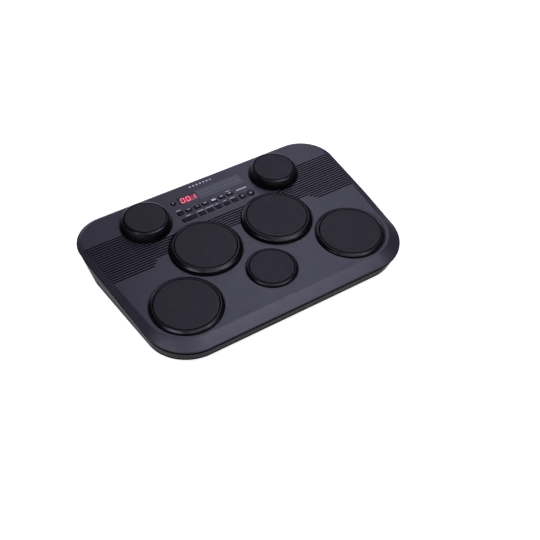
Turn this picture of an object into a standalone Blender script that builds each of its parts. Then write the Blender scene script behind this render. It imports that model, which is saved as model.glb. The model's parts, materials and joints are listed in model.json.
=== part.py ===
"""Electronic drum pad: a tabletop digital drum with seven playing pads.

Metres, +Z up, +Y to the back, standing on four rubber feet. The playing panel is tilted up
towards the back, so everything on it hangs from an empty, panel_frame, whose local XY plane is
the panel's top face and whose origin is the middle of the centre pad. What stands on the table
or looks out of the rear wall is placed in world axes instead.
"""

import math

import bmesh
import bpy
from mathutils import Matrix, Vector

# ---------------------------------------------------------------- driving dimensions (metres)
TILT = math.radians(3.8)  # slope of the panel above the horizontal
GAP = 0.0003  # clearance between touching pieces
OVER = 0.001  # how far a cutter reaches past the face it opens

FOOT_HEIGHT = 0.0030
FOOT_RADIUS = 0.0110
CASE_FLOOR_Z = FOOT_HEIGHT + GAP  # underside of the bottom shell
CENTRE_DEPTH = 0.0550  # panel face to case underside at the centre pad
PANEL_ORIGIN = (0.0, -0.1029, CASE_FLOOR_Z + CENTRE_DEPTH * math.cos(TILT))

WALL = 0.0025  # thickness of both shells
RIM_WALL = 0.0046  # inset of the tub's inner face at its rim
TONGUE_INSET = 0.0030  # the tub's tongue stands up inside the lip
TONGUE_BELOW = 0.0012  # lip line to the tongue's top
LIP = {"half": 0.2906, "taper": 0.061, "front": -0.1024, "back": 0.3043, "r_front": 0.0920,
       "r_back": 0.0739}
CREASE = {"half": 0.2738, "taper": 0.085, "front": -0.0774, "back": 0.2980, "r_front": 0.0800,
          "r_back": 0.0660}
# The case outline brought down to the underside: the front and the sides lean in
TUB_FOOT = {"half": 0.2829, "taper": 0.061, "front": -0.0947, "back": 0.3043, "r_front": 0.0898,
            "r_back": 0.1100}
LIP_DROP_CENTRE = 0.0076  # panel face to lip, level with the centre pad
LIP_DROP_SLOPE = 0.048  # the lip falls away from the panel towards the front
LIP_DROP_MIN = 0.0034
LIP_HEIGHT = 0.0022
SEAM = 0.0012
TUB_DRAFT = 0.0015  # how far every wall leans in, top to bottom
TUB_TOP_INSET = 0.0012
TUB_BOTTOM_ROUND = 0.0035
TUB_KNEE = 0.3  # share of that rounding taken at its middle ring
LIP_SHOULDER = 0.0006  # lip line to the inner corner of the top shell
CREASE_WALL = 0.0020  # inset of the top shell's inner face at the crease

# Pads: x, y of the centre, base radius of the rim, lip edge radius and height, groove radius
# and head height, all above the panel face.
PADS = {
    "rear_left": (-0.1551, 0.2345, 0.0541, 0.0477, 0.0178, 0.0432, 0.0211),
    "rear_right": (0.1551, 0.2345, 0.0541, 0.0477, 0.0178, 0.0432, 0.0211),
    "mid_left": (-0.0845, 0.1126, 0.0753, 0.0731, 0.0096, 0.0631, 0.0110),
    "mid_right": (0.0845, 0.1126, 0.0753, 0.0731, 0.0096, 0.0631, 0.0110),
    "front_left": (-0.1917, 0.0007, 0.0730, 0.0710, 0.0046, 0.0635, 0.0062),
    "front_right": (0.1917, 0.0007, 0.0730, 0.0710, 0.0046, 0.0635, 0.0062),
    "centre": (0.0, 0.0, 0.0526, 0.0508, 0.0042, 0.0452, 0.0057),
}
GROOVE_HALF = 0.0010  # half the annular gap between head and rim
HEAD_THICKNESS = 0.0060
RIM_BOTTOM = -0.0060  # the rim's spigot reaches this far below the panel face
LEDGE_DEPTH = 0.0100  # head top to the ledge that carries the sensor plate
SPIGOT_WALL = 0.0020
LEDGE_WIDTH = 0.0090
PLATE_THICKNESS = 0.0016
PIEZO_RADIUS = 0.0135
PIEZO_THICKNESS = 0.0009
PLATE_INSET = 0.0010  # groove radius less the sensor plate's radius
CREST_BELOW_HEAD = 0.0012
CREST_ROUND = 0.0008  # softened inner edge of the rim
RIM_SHOULDER = 0.0022  # crest to lip edge, across
TALL_LEDGE = 0.0050  # a ledge higher than this makes the rim hollow underneath
RIM_WEB = 0.0020  # thickness of a tall rim under its ledge
RIM_SKIRT = 0.0028  # thickness of a tall rim's skirt at its base
RIM_SKIRT_TOP = 0.0010
PAD_HOLE_DEPTH = 0.012
PAD_HOLE_CLEARANCE = 0.0004

# Rib band: grooves along X, counted from the back
RIB_COUNT = 18
RIB_PITCH = 0.00631
RIB_BACK_Y = 0.2292
RIB_WIDTH = 0.0030
RIB_DEPTH = 0.0016
RIB_END_INSET = 0.0010  # short of the crease
RIB_FIRST_FULL = 8  # rows from here run right across the panel
RIB_FIRST_SHORT = 15  # rows from here stop at a slanting end
RIB_SHORT_X = 0.1766  # where the slanting end meets the last full row
RIB_DEEP_X = 0.1551  # rows behind the full ones end under the rear pads
SPEAKER = (0.2336, 0.1640)
SPEAKER_RADIUS = 0.0360
SLOT_RADIUS = 0.0310
SLOT_WIDTH = 0.0018
SLOT_MIN_REACH = 0.0001  # shorter slots, as half a length squared, are left out
PANEL_CUT = 0.006  # depth of the cutters that go through the panel

# Control panel
KEY_PITCH = 0.0198
KEY_SIZE = (0.0136, 0.0092)
KEY_ROWS = {"upper": 0.2267, "lower": 0.2048}
KEY_FIRST_X = -0.0788
WIDE_KEY = (-0.0690, 0.2048, 0.0336, 0.0092)
SQUARE_KEY = (0.0599, 0.2070, 0.0140, 0.0136)
ROUND_KEY = (0.0796, 0.2070, 0.0086)
POWER_KEY = (-0.0780, 0.2599, 0.0050)
KEY_TOP = 0.0015
KEY_FLANGE = 0.0015  # thickness of the flange that keeps a key in
KEY_FLANGE_REACH = 0.0014
KEY_BOTTOM = -0.0060
KEY_CLEARANCE = 0.0005
DISPLAY = (-0.0438, 0.2592, 0.0460, 0.0200)
PANEL_BOARD = (0.0, 0.2340, 0.1840, 0.0780)
PANEL_BOARD_Z = -0.0084
BOARD_THICKNESS = 0.0016
WINDOW_HEIGHTS = (-0.0020, -0.0002)
MODULE_SIZE = (0.0410, 0.0170)
MODULE_TOP = -0.0026
KEY_ROUND = 0.0006

# Rear sockets, along world X, on the world-upright rear wall
SOCKET_Z = 0.0300
REAR_WALL_Y = PANEL_ORIGIN[1] + 0.3045
SOCKETS_X = {"dc_inlet": -0.0700, "usb_port": -0.0400, "phones_socket": 0.0, "hi_hat_socket": 0.0350,
             "kick_socket": 0.0650}

# Battery bay in the underside (world axes)
BAY_CENTRE = (0.0, 0.0500)
BAY_SIZE = (0.1560, 0.0840)
BAY_DEPTH = 0.0300
TRAY_WALL = 0.0020
TRAY_FLANGE = (0.0040, 0.0015)  # reach and thickness of the flange that stops the tray
FRAME_REACH = 0.0140  # thickened floor round the bay, where the tray and the door fit
FRAME_DEPTH = 0.0052
DOOR_SIZE = (0.1660, 0.0940, 0.0019)
DOOR_RECESS = 0.0022
DOOR_TRAVEL = 0.0120

POST_LENGTH = 0.0080  # the top shell's short screw posts meet the bottom shell's tall bosses
POST_RADIUS = 0.0050
BOSS_RADIUS = 0.0070
THREAD_BORE = 0.0019
SHANK_BORE = 0.0020
HEAD_BORE = 0.0048
BOSS_HEAD = 0.0060  # boss material between a screw's head and the post
SCREW_RADIUS = 0.0015
SCREW_HEAD = (0.0034, 0.0025)  # radius and height
SCREW_SHORT = 0.0020  # screw tip to post top
SCREWS = ((-0.2620, 0.1000), (0.2620, 0.1000), (-0.1050, -0.0680), (0.1050, -0.0680))
MAIN_BOARD_SIZE = (0.1700, 0.0600)
MAIN_BOARD_Z = 0.0180
MAIN_BOARD_INSET = 0.0430  # rear wall to the board's middle
FEET = {"front_left": (-0.2050, -0.0400), "front_right": (0.2050, -0.0400),
        "rear_left": (-0.2100, 0.2150), "rear_right": (0.2100, 0.2150)}

CORNER_STEPS = 9
SIDE_STEPS = 6
ROUND_STEPS = 30


# ---------------------------------------------------------------- scene, materials, placing
for old in list(bpy.data.objects):
    bpy.data.objects.remove(old, do_unlink=True)


def collection(name):
    made = bpy.data.collections.new(name)
    bpy.context.scene.collection.children.link(made)
    return made


PARTS = collection("electronic_drum_pad")
CUTTERS = collection("cutters")

PANEL = bpy.data.objects.new("panel_frame", None)
PANEL.location = PANEL_ORIGIN
PANEL.rotation_euler = (TILT, 0.0, 0.0)
PARTS.objects.link(PANEL)


def material(name, colour, roughness, metallic=0.0):
    made = bpy.data.materials.new(name)
    made.use_nodes = True
    shader = made.node_tree.nodes["Principled BSDF"]
    shader.inputs["Base Color"].default_value = (*colour, 1.0)
    shader.inputs["Roughness"].default_value = roughness
    shader.inputs["Metallic"].default_value = metallic
    made.diffuse_color = (*colour, 1.0)
    return made


CASE_TOP = material("case_top_plastic", (0.075, 0.075, 0.085), 0.55)
CASE_BOTTOM = material("case_bottom_plastic", (0.060, 0.060, 0.065), 0.60)
HEAD_RUBBER = material("head_rubber", (0.022, 0.022, 0.025), 0.80)
RIM_PLASTIC = material("rim_plastic", (0.015, 0.015, 0.018), 0.35)
KEY_PLASTIC = material("key_plastic", (0.020, 0.020, 0.023), 0.50)
WINDOW_RED = material("window_red", (0.160, 0.010, 0.015), 0.10)
BOARD_GREEN = material("board_green", (0.020, 0.130, 0.050), 0.50)
STEEL = material("steel", (0.550, 0.550, 0.560), 0.30, 1.0)
FOOT_RUBBER = material("foot_rubber", (0.020, 0.020, 0.020), 0.90)
SOCKET_PLASTIC = material("socket_plastic", (0.010, 0.010, 0.011), 0.40)
SPEAKER_BLACK = material("speaker_black", (0.025, 0.025, 0.028), 0.70)
DISPLAY_WHITE = material("display_module", (0.500, 0.480, 0.470), 0.50)


def world_point(x, y, z):
    """A panel_frame point in world axes."""
    matrix = Matrix.Translation(PANEL_ORIGIN) @ Matrix.Rotation(TILT, 4, "X")
    return matrix @ Vector((x, y, z))


def place(obj, paint, location=(0.0, 0.0, 0.0), rotation=(0.0, 0.0, 0.0), on_panel=True):
    """Link a part, give it its material and put it on the panel or in world axes."""
    obj.location = location
    obj.rotation_euler = rotation
    obj.data.materials.append(paint)
    PARTS.objects.link(obj)
    if on_panel:
        obj.parent = PANEL
    return obj


def object_from(name, bm):
    bmesh.ops.recalc_face_normals(bm, faces=bm.faces)
    mesh = bpy.data.meshes.new(name)
    bm.to_mesh(mesh)
    bm.free()
    return bpy.data.objects.new(name, mesh)


def cutter(name, bm, on_panel=True):
    made = object_from(name, bm)
    made.hide_render = True
    made.display_type = "WIRE"
    CUTTERS.objects.link(made)
    if on_panel:
        made.parent = PANEL
    return made


def boolean(obj, tool, operation="DIFFERENCE"):
    step = obj.modifiers.new(tool.name, "BOOLEAN")
    step.operation = operation
    step.object = tool


# ---------------------------------------------------------------- shapes
def add_box(bm, low, high):
    """A box between two corners."""
    low, high = Vector(low), Vector(high)
    matrix = Matrix.Translation((low + high) / 2) @ Matrix.Diagonal((*(high - low), 1.0))
    bmesh.ops.create_cube(bm, size=1.0, matrix=matrix)
    return bm


def add_cylinder(bm, x, y, z_low, z_high, radius, steps=ROUND_STEPS):
    matrix = Matrix.Translation((x, y, (z_low + z_high) / 2))
    bmesh.ops.create_cone(bm, cap_ends=True, segments=steps, radius1=radius, radius2=radius,
                          depth=z_high - z_low, matrix=matrix)
    return bm


def turned(name, profile, closed=False, steps=ROUND_STEPS):
    """A solid of revolution about local Z. The profile, (radius, z), runs down the outside."""
    mesh = bpy.data.meshes.new(name)
    points = [(radius, 0.0, z) for radius, z in profile]
    edges = [(i, i + 1) for i in range(len(points) - 1)]
    if closed:
        edges.append((len(points) - 1, 0))
    mesh.from_pydata(points, edges, [])
    made = bpy.data.objects.new(name, mesh)
    screw = made.modifiers.new("turn", "SCREW")
    screw.steps = steps
    screw.render_steps = steps
    screw.use_merge_vertices = True
    screw.merge_threshold = 0.00001
    screw.use_smooth_shade = True
    return made


def outline(inset, half, taper, front, back, r_front, r_back):
    """Plan of the case as a ring of (x, y): tapering sides, straight ends, round corners."""
    lean = math.atan(taper)
    half = half - inset / math.cos(lean)
    front, back = front + inset, back - inset
    r_front, r_back = r_front - inset, r_back - inset
    y_front, y_back = front + r_front, back - r_back
    x_front = half + taper * y_front - r_front / math.cos(lean)
    x_back = half + taper * y_back - r_back / math.cos(lean)

    def arc(x, y, radius, start, end):
        step = (end - start) / CORNER_STEPS
        return [(x + radius * math.cos(start + i * step), y + radius * math.sin(start + i * step))
                for i in range(CORNER_STEPS + 1)]

    right = arc(x_front, y_front, r_front, -math.pi / 2, -lean)
    far = arc(x_back, y_back, r_back, -lean, math.pi / 2)
    start, end = Vector(right[-1]), Vector(far[0])
    right += [tuple(start.lerp(end, i / SIDE_STEPS)) for i in range(1, SIDE_STEPS)]
    right += far
    return right + [(-x, y) for x, y in reversed(right)]


def lip_drop(y):
    """How far the lip lies below the panel face."""
    return max(LIP_DROP_MIN, LIP_DROP_CENTRE - LIP_DROP_SLOPE * y)


def floor_depth(y):
    """How far the level case underside lies below the panel face."""
    return CENTRE_DEPTH + math.tan(TILT) * y


def lip_ring(inset, below):
    """A ring on the case outline, a distance below the lip line."""
    return [(x, y, -lip_drop(y) - below) for x, y in outline(inset, **LIP)]


def floor_ring(inset, above):
    """A ring on the bottom shell's outline, a distance above the case underside."""
    return [(x, y, above - floor_depth(y)) for x, y in outline(inset, **TUB_FOOT)]


def crease_ring(inset, z):
    return [(x, y, z) for x, y in outline(inset, **CREASE)]


def loft(name, rings):
    """A closed body through rings of equal count, capped at the first and last."""
    bm = bmesh.new()
    rows = [[bm.verts.new(point) for point in ring] for ring in rings]
    count = len(rows[0])
    for upper, lower in zip(rows, rows[1:]):
        for i in range(count):
            j = (i + 1) % count
            bm.faces.new((upper[i], lower[i], lower[j], upper[j]))
    bm.faces.new(rows[0])
    bm.faces.new(list(reversed(rows[-1])))
    return object_from(name, bm)


# ---------------------------------------------------------------- casings
def rib_spans():
    """Each groove of the rib band as (y, start x, end x)."""
    spans = []
    for row in range(RIB_COUNT):
        y = RIB_BACK_Y - row * RIB_PITCH
        edge = CREASE["half"] + CREASE["taper"] * y - RIB_END_INSET
        if row < RIB_FIRST_FULL:
            inner = RIB_DEEP_X
        elif row < RIB_FIRST_SHORT:
            spans.append((y, -edge, edge))
            continue
        else:
            inner = RIB_SHORT_X + (row - RIB_FIRST_SHORT + 1) * RIB_PITCH
        spans.append((y, -edge, -inner))
        spans.append((y, inner, edge))
    return spans


def rib_cutter():
    bm = bmesh.new()
    for y, start, end in rib_spans():
        add_box(bm, (start, y - RIB_WIDTH / 2, -RIB_DEPTH), (end, y + RIB_WIDTH / 2, OVER))
    return cutter("rib_grooves", bm)


def slot_cutter():
    """Sound slots through the bottoms of the grooves over each loudspeaker."""
    bm = bmesh.new()
    for row in range(RIB_COUNT):
        y = RIB_BACK_Y - row * RIB_PITCH
        reach = SLOT_RADIUS ** 2 - (y - SPEAKER[1]) ** 2
        if reach <= SLOT_MIN_REACH:
            continue
        half = math.sqrt(reach)
        for side in (-1, 1):
            x = side * SPEAKER[0]
            add_box(bm, (x - half, y - SLOT_WIDTH / 2, -PANEL_CUT),
                    (x + half, y + SLOT_WIDTH / 2, OVER))
    return cutter("speaker_slots", bm)


def is_tall(pad):
    """True where the sensor ledge stands above the panel, so the rim is hollow underneath."""
    head_z = pad[6]
    return head_z - LEDGE_DEPTH > TALL_LEDGE


def spigot_radius(pad):
    """The rim's spigot goes round the bore, or under the ledge of a tall rim."""
    groove = pad[5]
    return groove - SPIGOT_WALL if is_tall(pad) else groove + GROOVE_HALF + SPIGOT_WALL


def pad_hole_cutter():
    bm = bmesh.new()
    for pad in PADS.values():
        radius = spigot_radius(pad) + PAD_HOLE_CLEARANCE
        add_cylinder(bm, pad[0], pad[1], -PAD_HOLE_DEPTH, OVER, radius, 40)
    return cutter("pad_holes", bm)


def key_cells():
    """Every rectangular key as name: (x, y, width, depth)."""
    cells = {}
    for i in range(7):
        cells["key_upper_%d" % (i + 1)] = (KEY_FIRST_X + i * KEY_PITCH, KEY_ROWS["upper"], *KEY_SIZE)
    cells["key_lower_wide"] = WIDE_KEY
    for i in range(2, 7):
        cells["key_lower_%d" % i] = (KEY_FIRST_X + i * KEY_PITCH, KEY_ROWS["lower"], *KEY_SIZE)
    cells["key_square"] = SQUARE_KEY
    return cells


ROUND_KEYS = {"key_round": ROUND_KEY, "key_power": POWER_KEY}


def control_cutter():
    """Openings for the keys and the display window."""
    bm = bmesh.new()
    for x, y, width, depth in key_cells().values():
        reach_x, reach_y = width / 2 + KEY_CLEARANCE, depth / 2 + KEY_CLEARANCE
        add_box(bm, (x - reach_x, y - reach_y, -PANEL_CUT), (x + reach_x, y + reach_y, OVER))
    for x, y, radius in ROUND_KEYS.values():
        add_cylinder(bm, x, y, -PANEL_CUT, OVER, radius + KEY_CLEARANCE, 24)
    x, y, width, depth = DISPLAY
    add_box(bm, (x - width / 2, y - depth / 2, -PANEL_CUT), (x + width / 2, y + depth / 2, OVER))
    return cutter("control_openings", bm)


def make_top_shell():
    rings = [
        crease_ring(0.0, 0.0),
        lip_ring(0.0, 0.0),
        lip_ring(0.0, LIP_HEIGHT),
        lip_ring(WALL, LIP_HEIGHT),
        lip_ring(WALL, LIP_SHOULDER),
        crease_ring(CREASE_WALL, -WALL),
    ]
    shell = place(loft("top_shell", rings), CASE_TOP)
    posts, bores = bmesh.new(), bmesh.new()
    for spot in SCREWS:
        x, y, foot = post_foot(spot)
        add_cylinder(posts, x, y, foot, foot + POST_LENGTH + WALL / 2, POST_RADIUS, 16)
        add_cylinder(bores, x, y, foot - OVER, foot + POST_LENGTH - OVER, THREAD_BORE, 12)
    boolean(shell, cutter("screw_posts", posts, False), "UNION")
    boolean(shell, cutter("post_bores", bores, False))
    boolean(shell, rib_cutter())
    boolean(shell, slot_cutter())
    boolean(shell, pad_hole_cutter())
    boolean(shell, control_cutter())
    return shell


def post_foot(spot):
    """World x, y and height at which a screw post stands on its boss."""
    under = world_point(*spot, -WALL)
    return under.x, under.y, under.z - POST_LENGTH


def bay_box(grow, z_low, z_high, extra_front=0.0):
    """A box over the battery bay, in world axes, with heights from the case underside."""
    x, y = BAY_CENTRE
    reach_x, reach_y = BAY_SIZE[0] / 2 + grow, BAY_SIZE[1] / 2 + grow
    low = (x - reach_x, y - reach_y - extra_front, CASE_FLOOR_Z + z_low)
    return add_box(bmesh.new(), low, (x + reach_x, y + reach_y, CASE_FLOOR_Z + z_high))


def door_recess():
    """The space that the battery door fills and slides in."""
    grow = (DOOR_SIZE[0] - BAY_SIZE[0]) / 2 + GAP
    return bay_box(grow, -OVER, DOOR_RECESS, DOOR_TRAVEL)


def make_bottom_shell():
    bottom_inset = TUB_TOP_INSET + TUB_DRAFT
    top_below = LIP_HEIGHT + SEAM
    knee = TUB_BOTTOM_ROUND * TUB_KNEE
    rings = [
        lip_ring(RIM_WALL, TONGUE_BELOW),
        lip_ring(TONGUE_INSET, TONGUE_BELOW),
        lip_ring(TONGUE_INSET, top_below),
        lip_ring(TUB_TOP_INSET, top_below),
        floor_ring(bottom_inset, TUB_BOTTOM_ROUND),
        floor_ring(bottom_inset + knee, knee),
        floor_ring(bottom_inset + TUB_BOTTOM_ROUND, 0.0),
    ]
    inside = [
        floor_ring(bottom_inset + TUB_BOTTOM_ROUND, WALL),
        lip_ring(RIM_WALL, top_below + WALL),
    ]
    shell = place(loft_shell("bottom_shell", rings, inside), CASE_BOTTOM)

    thicken = bay_box(FRAME_REACH - DOOR_TRAVEL / 2, WALL / 2, FRAME_DEPTH, DOOR_TRAVEL)
    boolean(shell, cutter("bay_frame", thicken, False), "UNION")
    bosses, wells, bores = bmesh.new(), bmesh.new(), bmesh.new()
    for spot in SCREWS:
        x, y, foot = post_foot(spot)
        head = foot - BOSS_HEAD
        add_cylinder(bosses, x, y, CASE_FLOOR_Z + WALL / 2, foot - GAP, BOSS_RADIUS, 16)
        add_cylinder(wells, x, y, CASE_FLOOR_Z - OVER, head, HEAD_BORE, 16)
        add_cylinder(bores, x, y, head - OVER, foot + OVER, SHANK_BORE, 12)
    boolean(shell, cutter("screw_bosses", bosses, False), "UNION")
    boolean(shell, cutter("screw_wells", wells, False))
    boolean(shell, cutter("screw_bores", bores, False))
    tray_hole = bay_box(TRAY_WALL + GAP, -OVER, FRAME_DEPTH + OVER)
    boolean(shell, cutter("tray_hole", tray_hole, False))
    boolean(shell, cutter("door_recess", door_recess(), False))
    boolean(shell, socket_cutter())
    return shell


def make_battery_tray():
    """A five-sided tray, open downwards, that drops into the bottom shell from inside."""
    reach, thickness = TRAY_FLANGE
    flange_z = FRAME_DEPTH + GAP
    tray = object_from("battery_tray", bay_box(TRAY_WALL, DOOR_RECESS + GAP, BAY_DEPTH + TRAY_WALL))
    place(tray, CASE_BOTTOM, on_panel=False)
    flange = bay_box(TRAY_WALL + reach, flange_z, flange_z + thickness)
    boolean(tray, cutter("tray_flange", flange, False), "UNION")
    boolean(tray, cutter("tray_space", bay_box(0.0, 0.0, BAY_DEPTH), False))
    return tray


def loft_shell(name, outside, inside):
    """A tub: rings down the outside, a floor, then rings up the inside to the first ring."""
    bm = bmesh.new()
    rows = [[bm.verts.new(point) for point in ring] for ring in outside + inside]
    count = len(rows[0])

    def skin(upper, lower):
        for i in range(count):
            j = (i + 1) % count
            bm.faces.new((upper[i], lower[i], lower[j], upper[j]))

    last_outside = len(outside) - 1
    for index in range(last_outside):
        skin(rows[index], rows[index + 1])
    bm.faces.new(list(reversed(rows[last_outside])))
    bm.faces.new(rows[last_outside + 1])
    for index in range(last_outside + 1, len(rows) - 1):
        skin(rows[index], rows[index + 1])
    skin(rows[-1], rows[0])
    return object_from(name, bm)


# ---------------------------------------------------------------- pads
def make_rim(name, pad):
    x, y, base, lip, lip_z, groove, head_z = pad
    bore = groove + GROOVE_HALF
    ledge, spigot = groove - LEDGE_WIDTH, spigot_radius(pad)
    ledge_z = head_z - LEDGE_DEPTH
    crest_z = head_z - CREST_BELOW_HEAD
    profile = [
        (bore, crest_z - CREST_ROUND),
        (bore + CREST_ROUND, crest_z),
        (lip - RIM_SHOULDER, crest_z - CREST_ROUND / 4),
        (lip, lip_z),
        (base, GAP),
        (spigot, GAP),
        (spigot, RIM_BOTTOM),
        (ledge, RIM_BOTTOM),
        (ledge, ledge_z),
        (bore, ledge_z),
    ]
    if is_tall(pad):
        web_z = ledge_z - RIM_WEB
        profile[5:6] = [(base - RIM_SKIRT, GAP), (lip - RIM_SKIRT_TOP, web_z), (spigot, web_z)]
    return place(turned("rim_" + name, profile, closed=True), RIM_PLASTIC, (x, y, 0.0))


def make_head(name, pad):
    x, y, _, _, _, groove, head_z = pad
    radius = groove - GROOVE_HALF
    profile = [
        (0.0, 0.0),
        (radius - 0.0010, 0.0),
        (radius - 0.0002, -0.0004),
        (radius, -0.0012),
        (radius, -HEAD_THICKNESS),
        (0.0, -HEAD_THICKNESS),
    ]
    return place(turned("head_" + name, profile), HEAD_RUBBER, (x, y, head_z))


def make_sensor(name, pad):
    x, y, _, _, _, groove, head_z = pad
    radius = groove - PLATE_INSET
    base_z = head_z - LEDGE_DEPTH + GAP
    profile = [
        (0.0, PLATE_THICKNESS),
        (radius, PLATE_THICKNESS),
        (radius, 0.0),
        (PIEZO_RADIUS, 0.0),
        (PIEZO_RADIUS, -PIEZO_THICKNESS),
        (0.0, -PIEZO_THICKNESS),
    ]
    return place(turned("sensor_" + name, profile, steps=24), STEEL, (x, y, base_z))


# ---------------------------------------------------------------- control panel
def make_key(name, cell):
    """A rectangular key cap with a flange that stops it under the top shell."""
    x, y, width, depth = cell
    top = KEY_TOP - KEY_BOTTOM
    bm = bmesh.new()
    add_box(bm, (-width / 2, -depth / 2, KEY_FLANGE / 2), (width / 2, depth / 2, top))
    made = place(object_from(name, bm), KEY_PLASTIC, (x, y, KEY_BOTTOM))
    flange = bmesh.new()
    reach_x, reach_y = width / 2 + KEY_FLANGE_REACH, depth / 2 + KEY_FLANGE_REACH
    add_box(flange, (x - reach_x, y - reach_y, KEY_BOTTOM),
            (x + reach_x, y + reach_y, KEY_BOTTOM + KEY_FLANGE))
    boolean(made, cutter(name + "_flange", flange), "UNION")
    return made


def make_round_key(name, cell):
    x, y, radius = cell
    profile = [
        (0.0, KEY_TOP),
        (radius - KEY_ROUND, KEY_TOP),
        (radius, KEY_TOP - KEY_ROUND),
        (radius, KEY_BOTTOM + KEY_FLANGE),
        (radius + KEY_FLANGE_REACH, KEY_BOTTOM + KEY_FLANGE),
        (radius + KEY_FLANGE_REACH, KEY_BOTTOM),
        (0.0, KEY_BOTTOM),
    ]
    return place(turned(name, profile, steps=20), KEY_PLASTIC, (x, y, 0.0))


def make_block(name, low, high, paint, on_panel=True):
    """A plain block between two corners, with its origin in its middle."""
    low, high = Vector(low), Vector(high)
    half = (high - low) / 2
    made = object_from(name, add_box(bmesh.new(), -half, half))
    return place(made, paint, (low + high) / 2, on_panel=on_panel)


def make_panel_electronics():
    x, y, width, depth = DISPLAY
    window = (width / 2 - GAP, depth / 2 - GAP)
    low, high = WINDOW_HEIGHTS
    make_block("display_window", (x - window[0], y - window[1], low),
               (x + window[0], y + window[1], high), WINDOW_RED)
    module = (MODULE_SIZE[0] / 2, MODULE_SIZE[1] / 2)
    make_block("display_module", (x - module[0], y - module[1], PANEL_BOARD_Z + GAP),
               (x + module[0], y + module[1], MODULE_TOP), DISPLAY_WHITE)
    x, y, width, depth = PANEL_BOARD
    make_block("panel_board", (x - width / 2, y - depth / 2, PANEL_BOARD_Z - BOARD_THICKNESS),
               (x + width / 2, y + depth / 2, PANEL_BOARD_Z), BOARD_GREEN)


# ---------------------------------------------------------------- inside and underneath
def make_speaker(side):
    """Basket, magnet and cone in one turned body, facing up under the slots."""
    name = "speaker_left" if side < 0 else "speaker_right"
    dust_cap, cone, magnet = 0.0110, 0.0290, 0.0170
    rim_top, rim_bottom = -0.0008, -0.0030
    magnet_top, magnet_bottom = -0.0140, -0.0230
    profile = [
        (0.0, -0.0060),
        (dust_cap, -0.0050),
        (cone, -0.0020),
        (SLOT_RADIUS, rim_top),
        (SPEAKER_RADIUS, rim_top),
        (SPEAKER_RADIUS, rim_bottom),
        (cone, rim_bottom - 0.0015),
        (magnet, magnet_top),
        (magnet, magnet_bottom),
        (0.0, magnet_bottom),
    ]
    return place(turned(name, profile), SPEAKER_BLACK, (side * SPEAKER[0], SPEAKER[1], -WALL))


def make_foot(name, spot):
    point = world_point(*spot, 0.0)
    profile = [
        (0.0, FOOT_HEIGHT),
        (FOOT_RADIUS, FOOT_HEIGHT),
        (FOOT_RADIUS, 0.0008),
        (FOOT_RADIUS - 0.0010, 0.0),
        (0.0, 0.0),
    ]
    made = turned("foot_" + name, profile, steps=24)
    return place(made, FOOT_RUBBER, (point.x, point.y, 0.0), on_panel=False)


def make_screw(index, spot):
    """A pan-head case screw, head down at the end of its well."""
    x, y, foot = post_foot(spot)
    seat = -BOSS_HEAD - GAP
    tip = POST_LENGTH - SCREW_SHORT
    head_radius, head_height = SCREW_HEAD
    profile = [
        (0.0, tip),
        (SCREW_RADIUS * 0.8, tip - 0.0005),
        (SCREW_RADIUS, tip - 0.0020),
        (SCREW_RADIUS, seat),
        (head_radius, seat),
        (head_radius, seat - head_height * 0.7),
        (head_radius * 0.8, seat - head_height),
        (0.0, seat - head_height),
    ]
    made = turned("case_screw_%d" % index, profile, steps=12)
    return place(made, STEEL, (x, y, foot), on_panel=False)


def make_battery_door():
    x, y = BAY_CENTRE
    low = (x - DOOR_SIZE[0] / 2, y - DOOR_SIZE[1] / 2, CASE_FLOOR_Z)
    high = (x + DOOR_SIZE[0] / 2, y + DOOR_SIZE[1] / 2, CASE_FLOOR_Z + DOOR_SIZE[2])
    return make_block("battery_door", low, high, CASE_BOTTOM, on_panel=False)


def make_main_board():
    y = REAR_WALL_Y - MAIN_BOARD_INSET
    half_x, half_y = MAIN_BOARD_SIZE[0] / 2, MAIN_BOARD_SIZE[1] / 2
    return make_block("main_board", (-half_x, y - half_y, MAIN_BOARD_Z),
                      (half_x, y + half_y, MAIN_BOARD_Z + BOARD_THICKNESS), BOARD_GREEN, on_panel=False)


# ---------------------------------------------------------------- rear sockets
OUTWARD = (-math.pi / 2, 0.0, 0.0)  # turns local +Z to world +Y
FACE = 0.0006  # back of a socket's flange, clear of the rear wall
WALL_BACK = -0.0042  # where a socket's body widens behind the wall
JACK_BORE = 0.0033
JACK_NECK = 0.0050
JACK_FLANGE = 0.0066
JACK_BODY = 0.0072
JACK_DEPTHS = (-0.0240, -0.0280)  # bottom of the bore and of the body
DC_PIN = 0.0010
DC_BORE = 0.0032
DC_NECK = 0.0045
USB_HALF = (0.0060, 0.0055)
USB_MOUTH = (0.0044, 0.0040)
USB_CLEARANCE = 0.0004
USB_REACH = (-0.0160, 0.0010)  # from behind the rear wall's face to in front of it
USB_MOUTH_DEPTH = 0.0100
HOLE_LENGTH = 0.012


def jack_profile():
    """A socket body with a blind bore, mouth at the top."""
    bottom, back = JACK_DEPTHS
    mouth = FACE + 0.0018
    return [
        (0.0, bottom),
        (JACK_BORE, bottom),
        (JACK_BORE, mouth),
        (JACK_FLANGE, mouth),
        (JACK_FLANGE, FACE),
        (JACK_NECK, FACE),
        (JACK_NECK, WALL_BACK),
        (JACK_BODY, WALL_BACK),
        (JACK_BODY, back),
        (0.0, back),
    ]


def dc_profile():
    """A barrel socket: a bore with a contact pin standing in it."""
    tip, bottom, back = -0.0010, -0.0100, -0.0140
    mouth, flange, body = FACE + 0.0012, 0.0052, 0.0060
    return [
        (0.0, tip),
        (DC_PIN, tip),
        (DC_PIN, bottom),
        (DC_BORE, bottom),
        (DC_BORE, mouth),
        (flange, mouth),
        (flange, FACE),
        (DC_NECK, FACE),
        (DC_NECK, WALL_BACK),
        (body, WALL_BACK),
        (body, back),
        (0.0, back),
    ]


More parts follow.
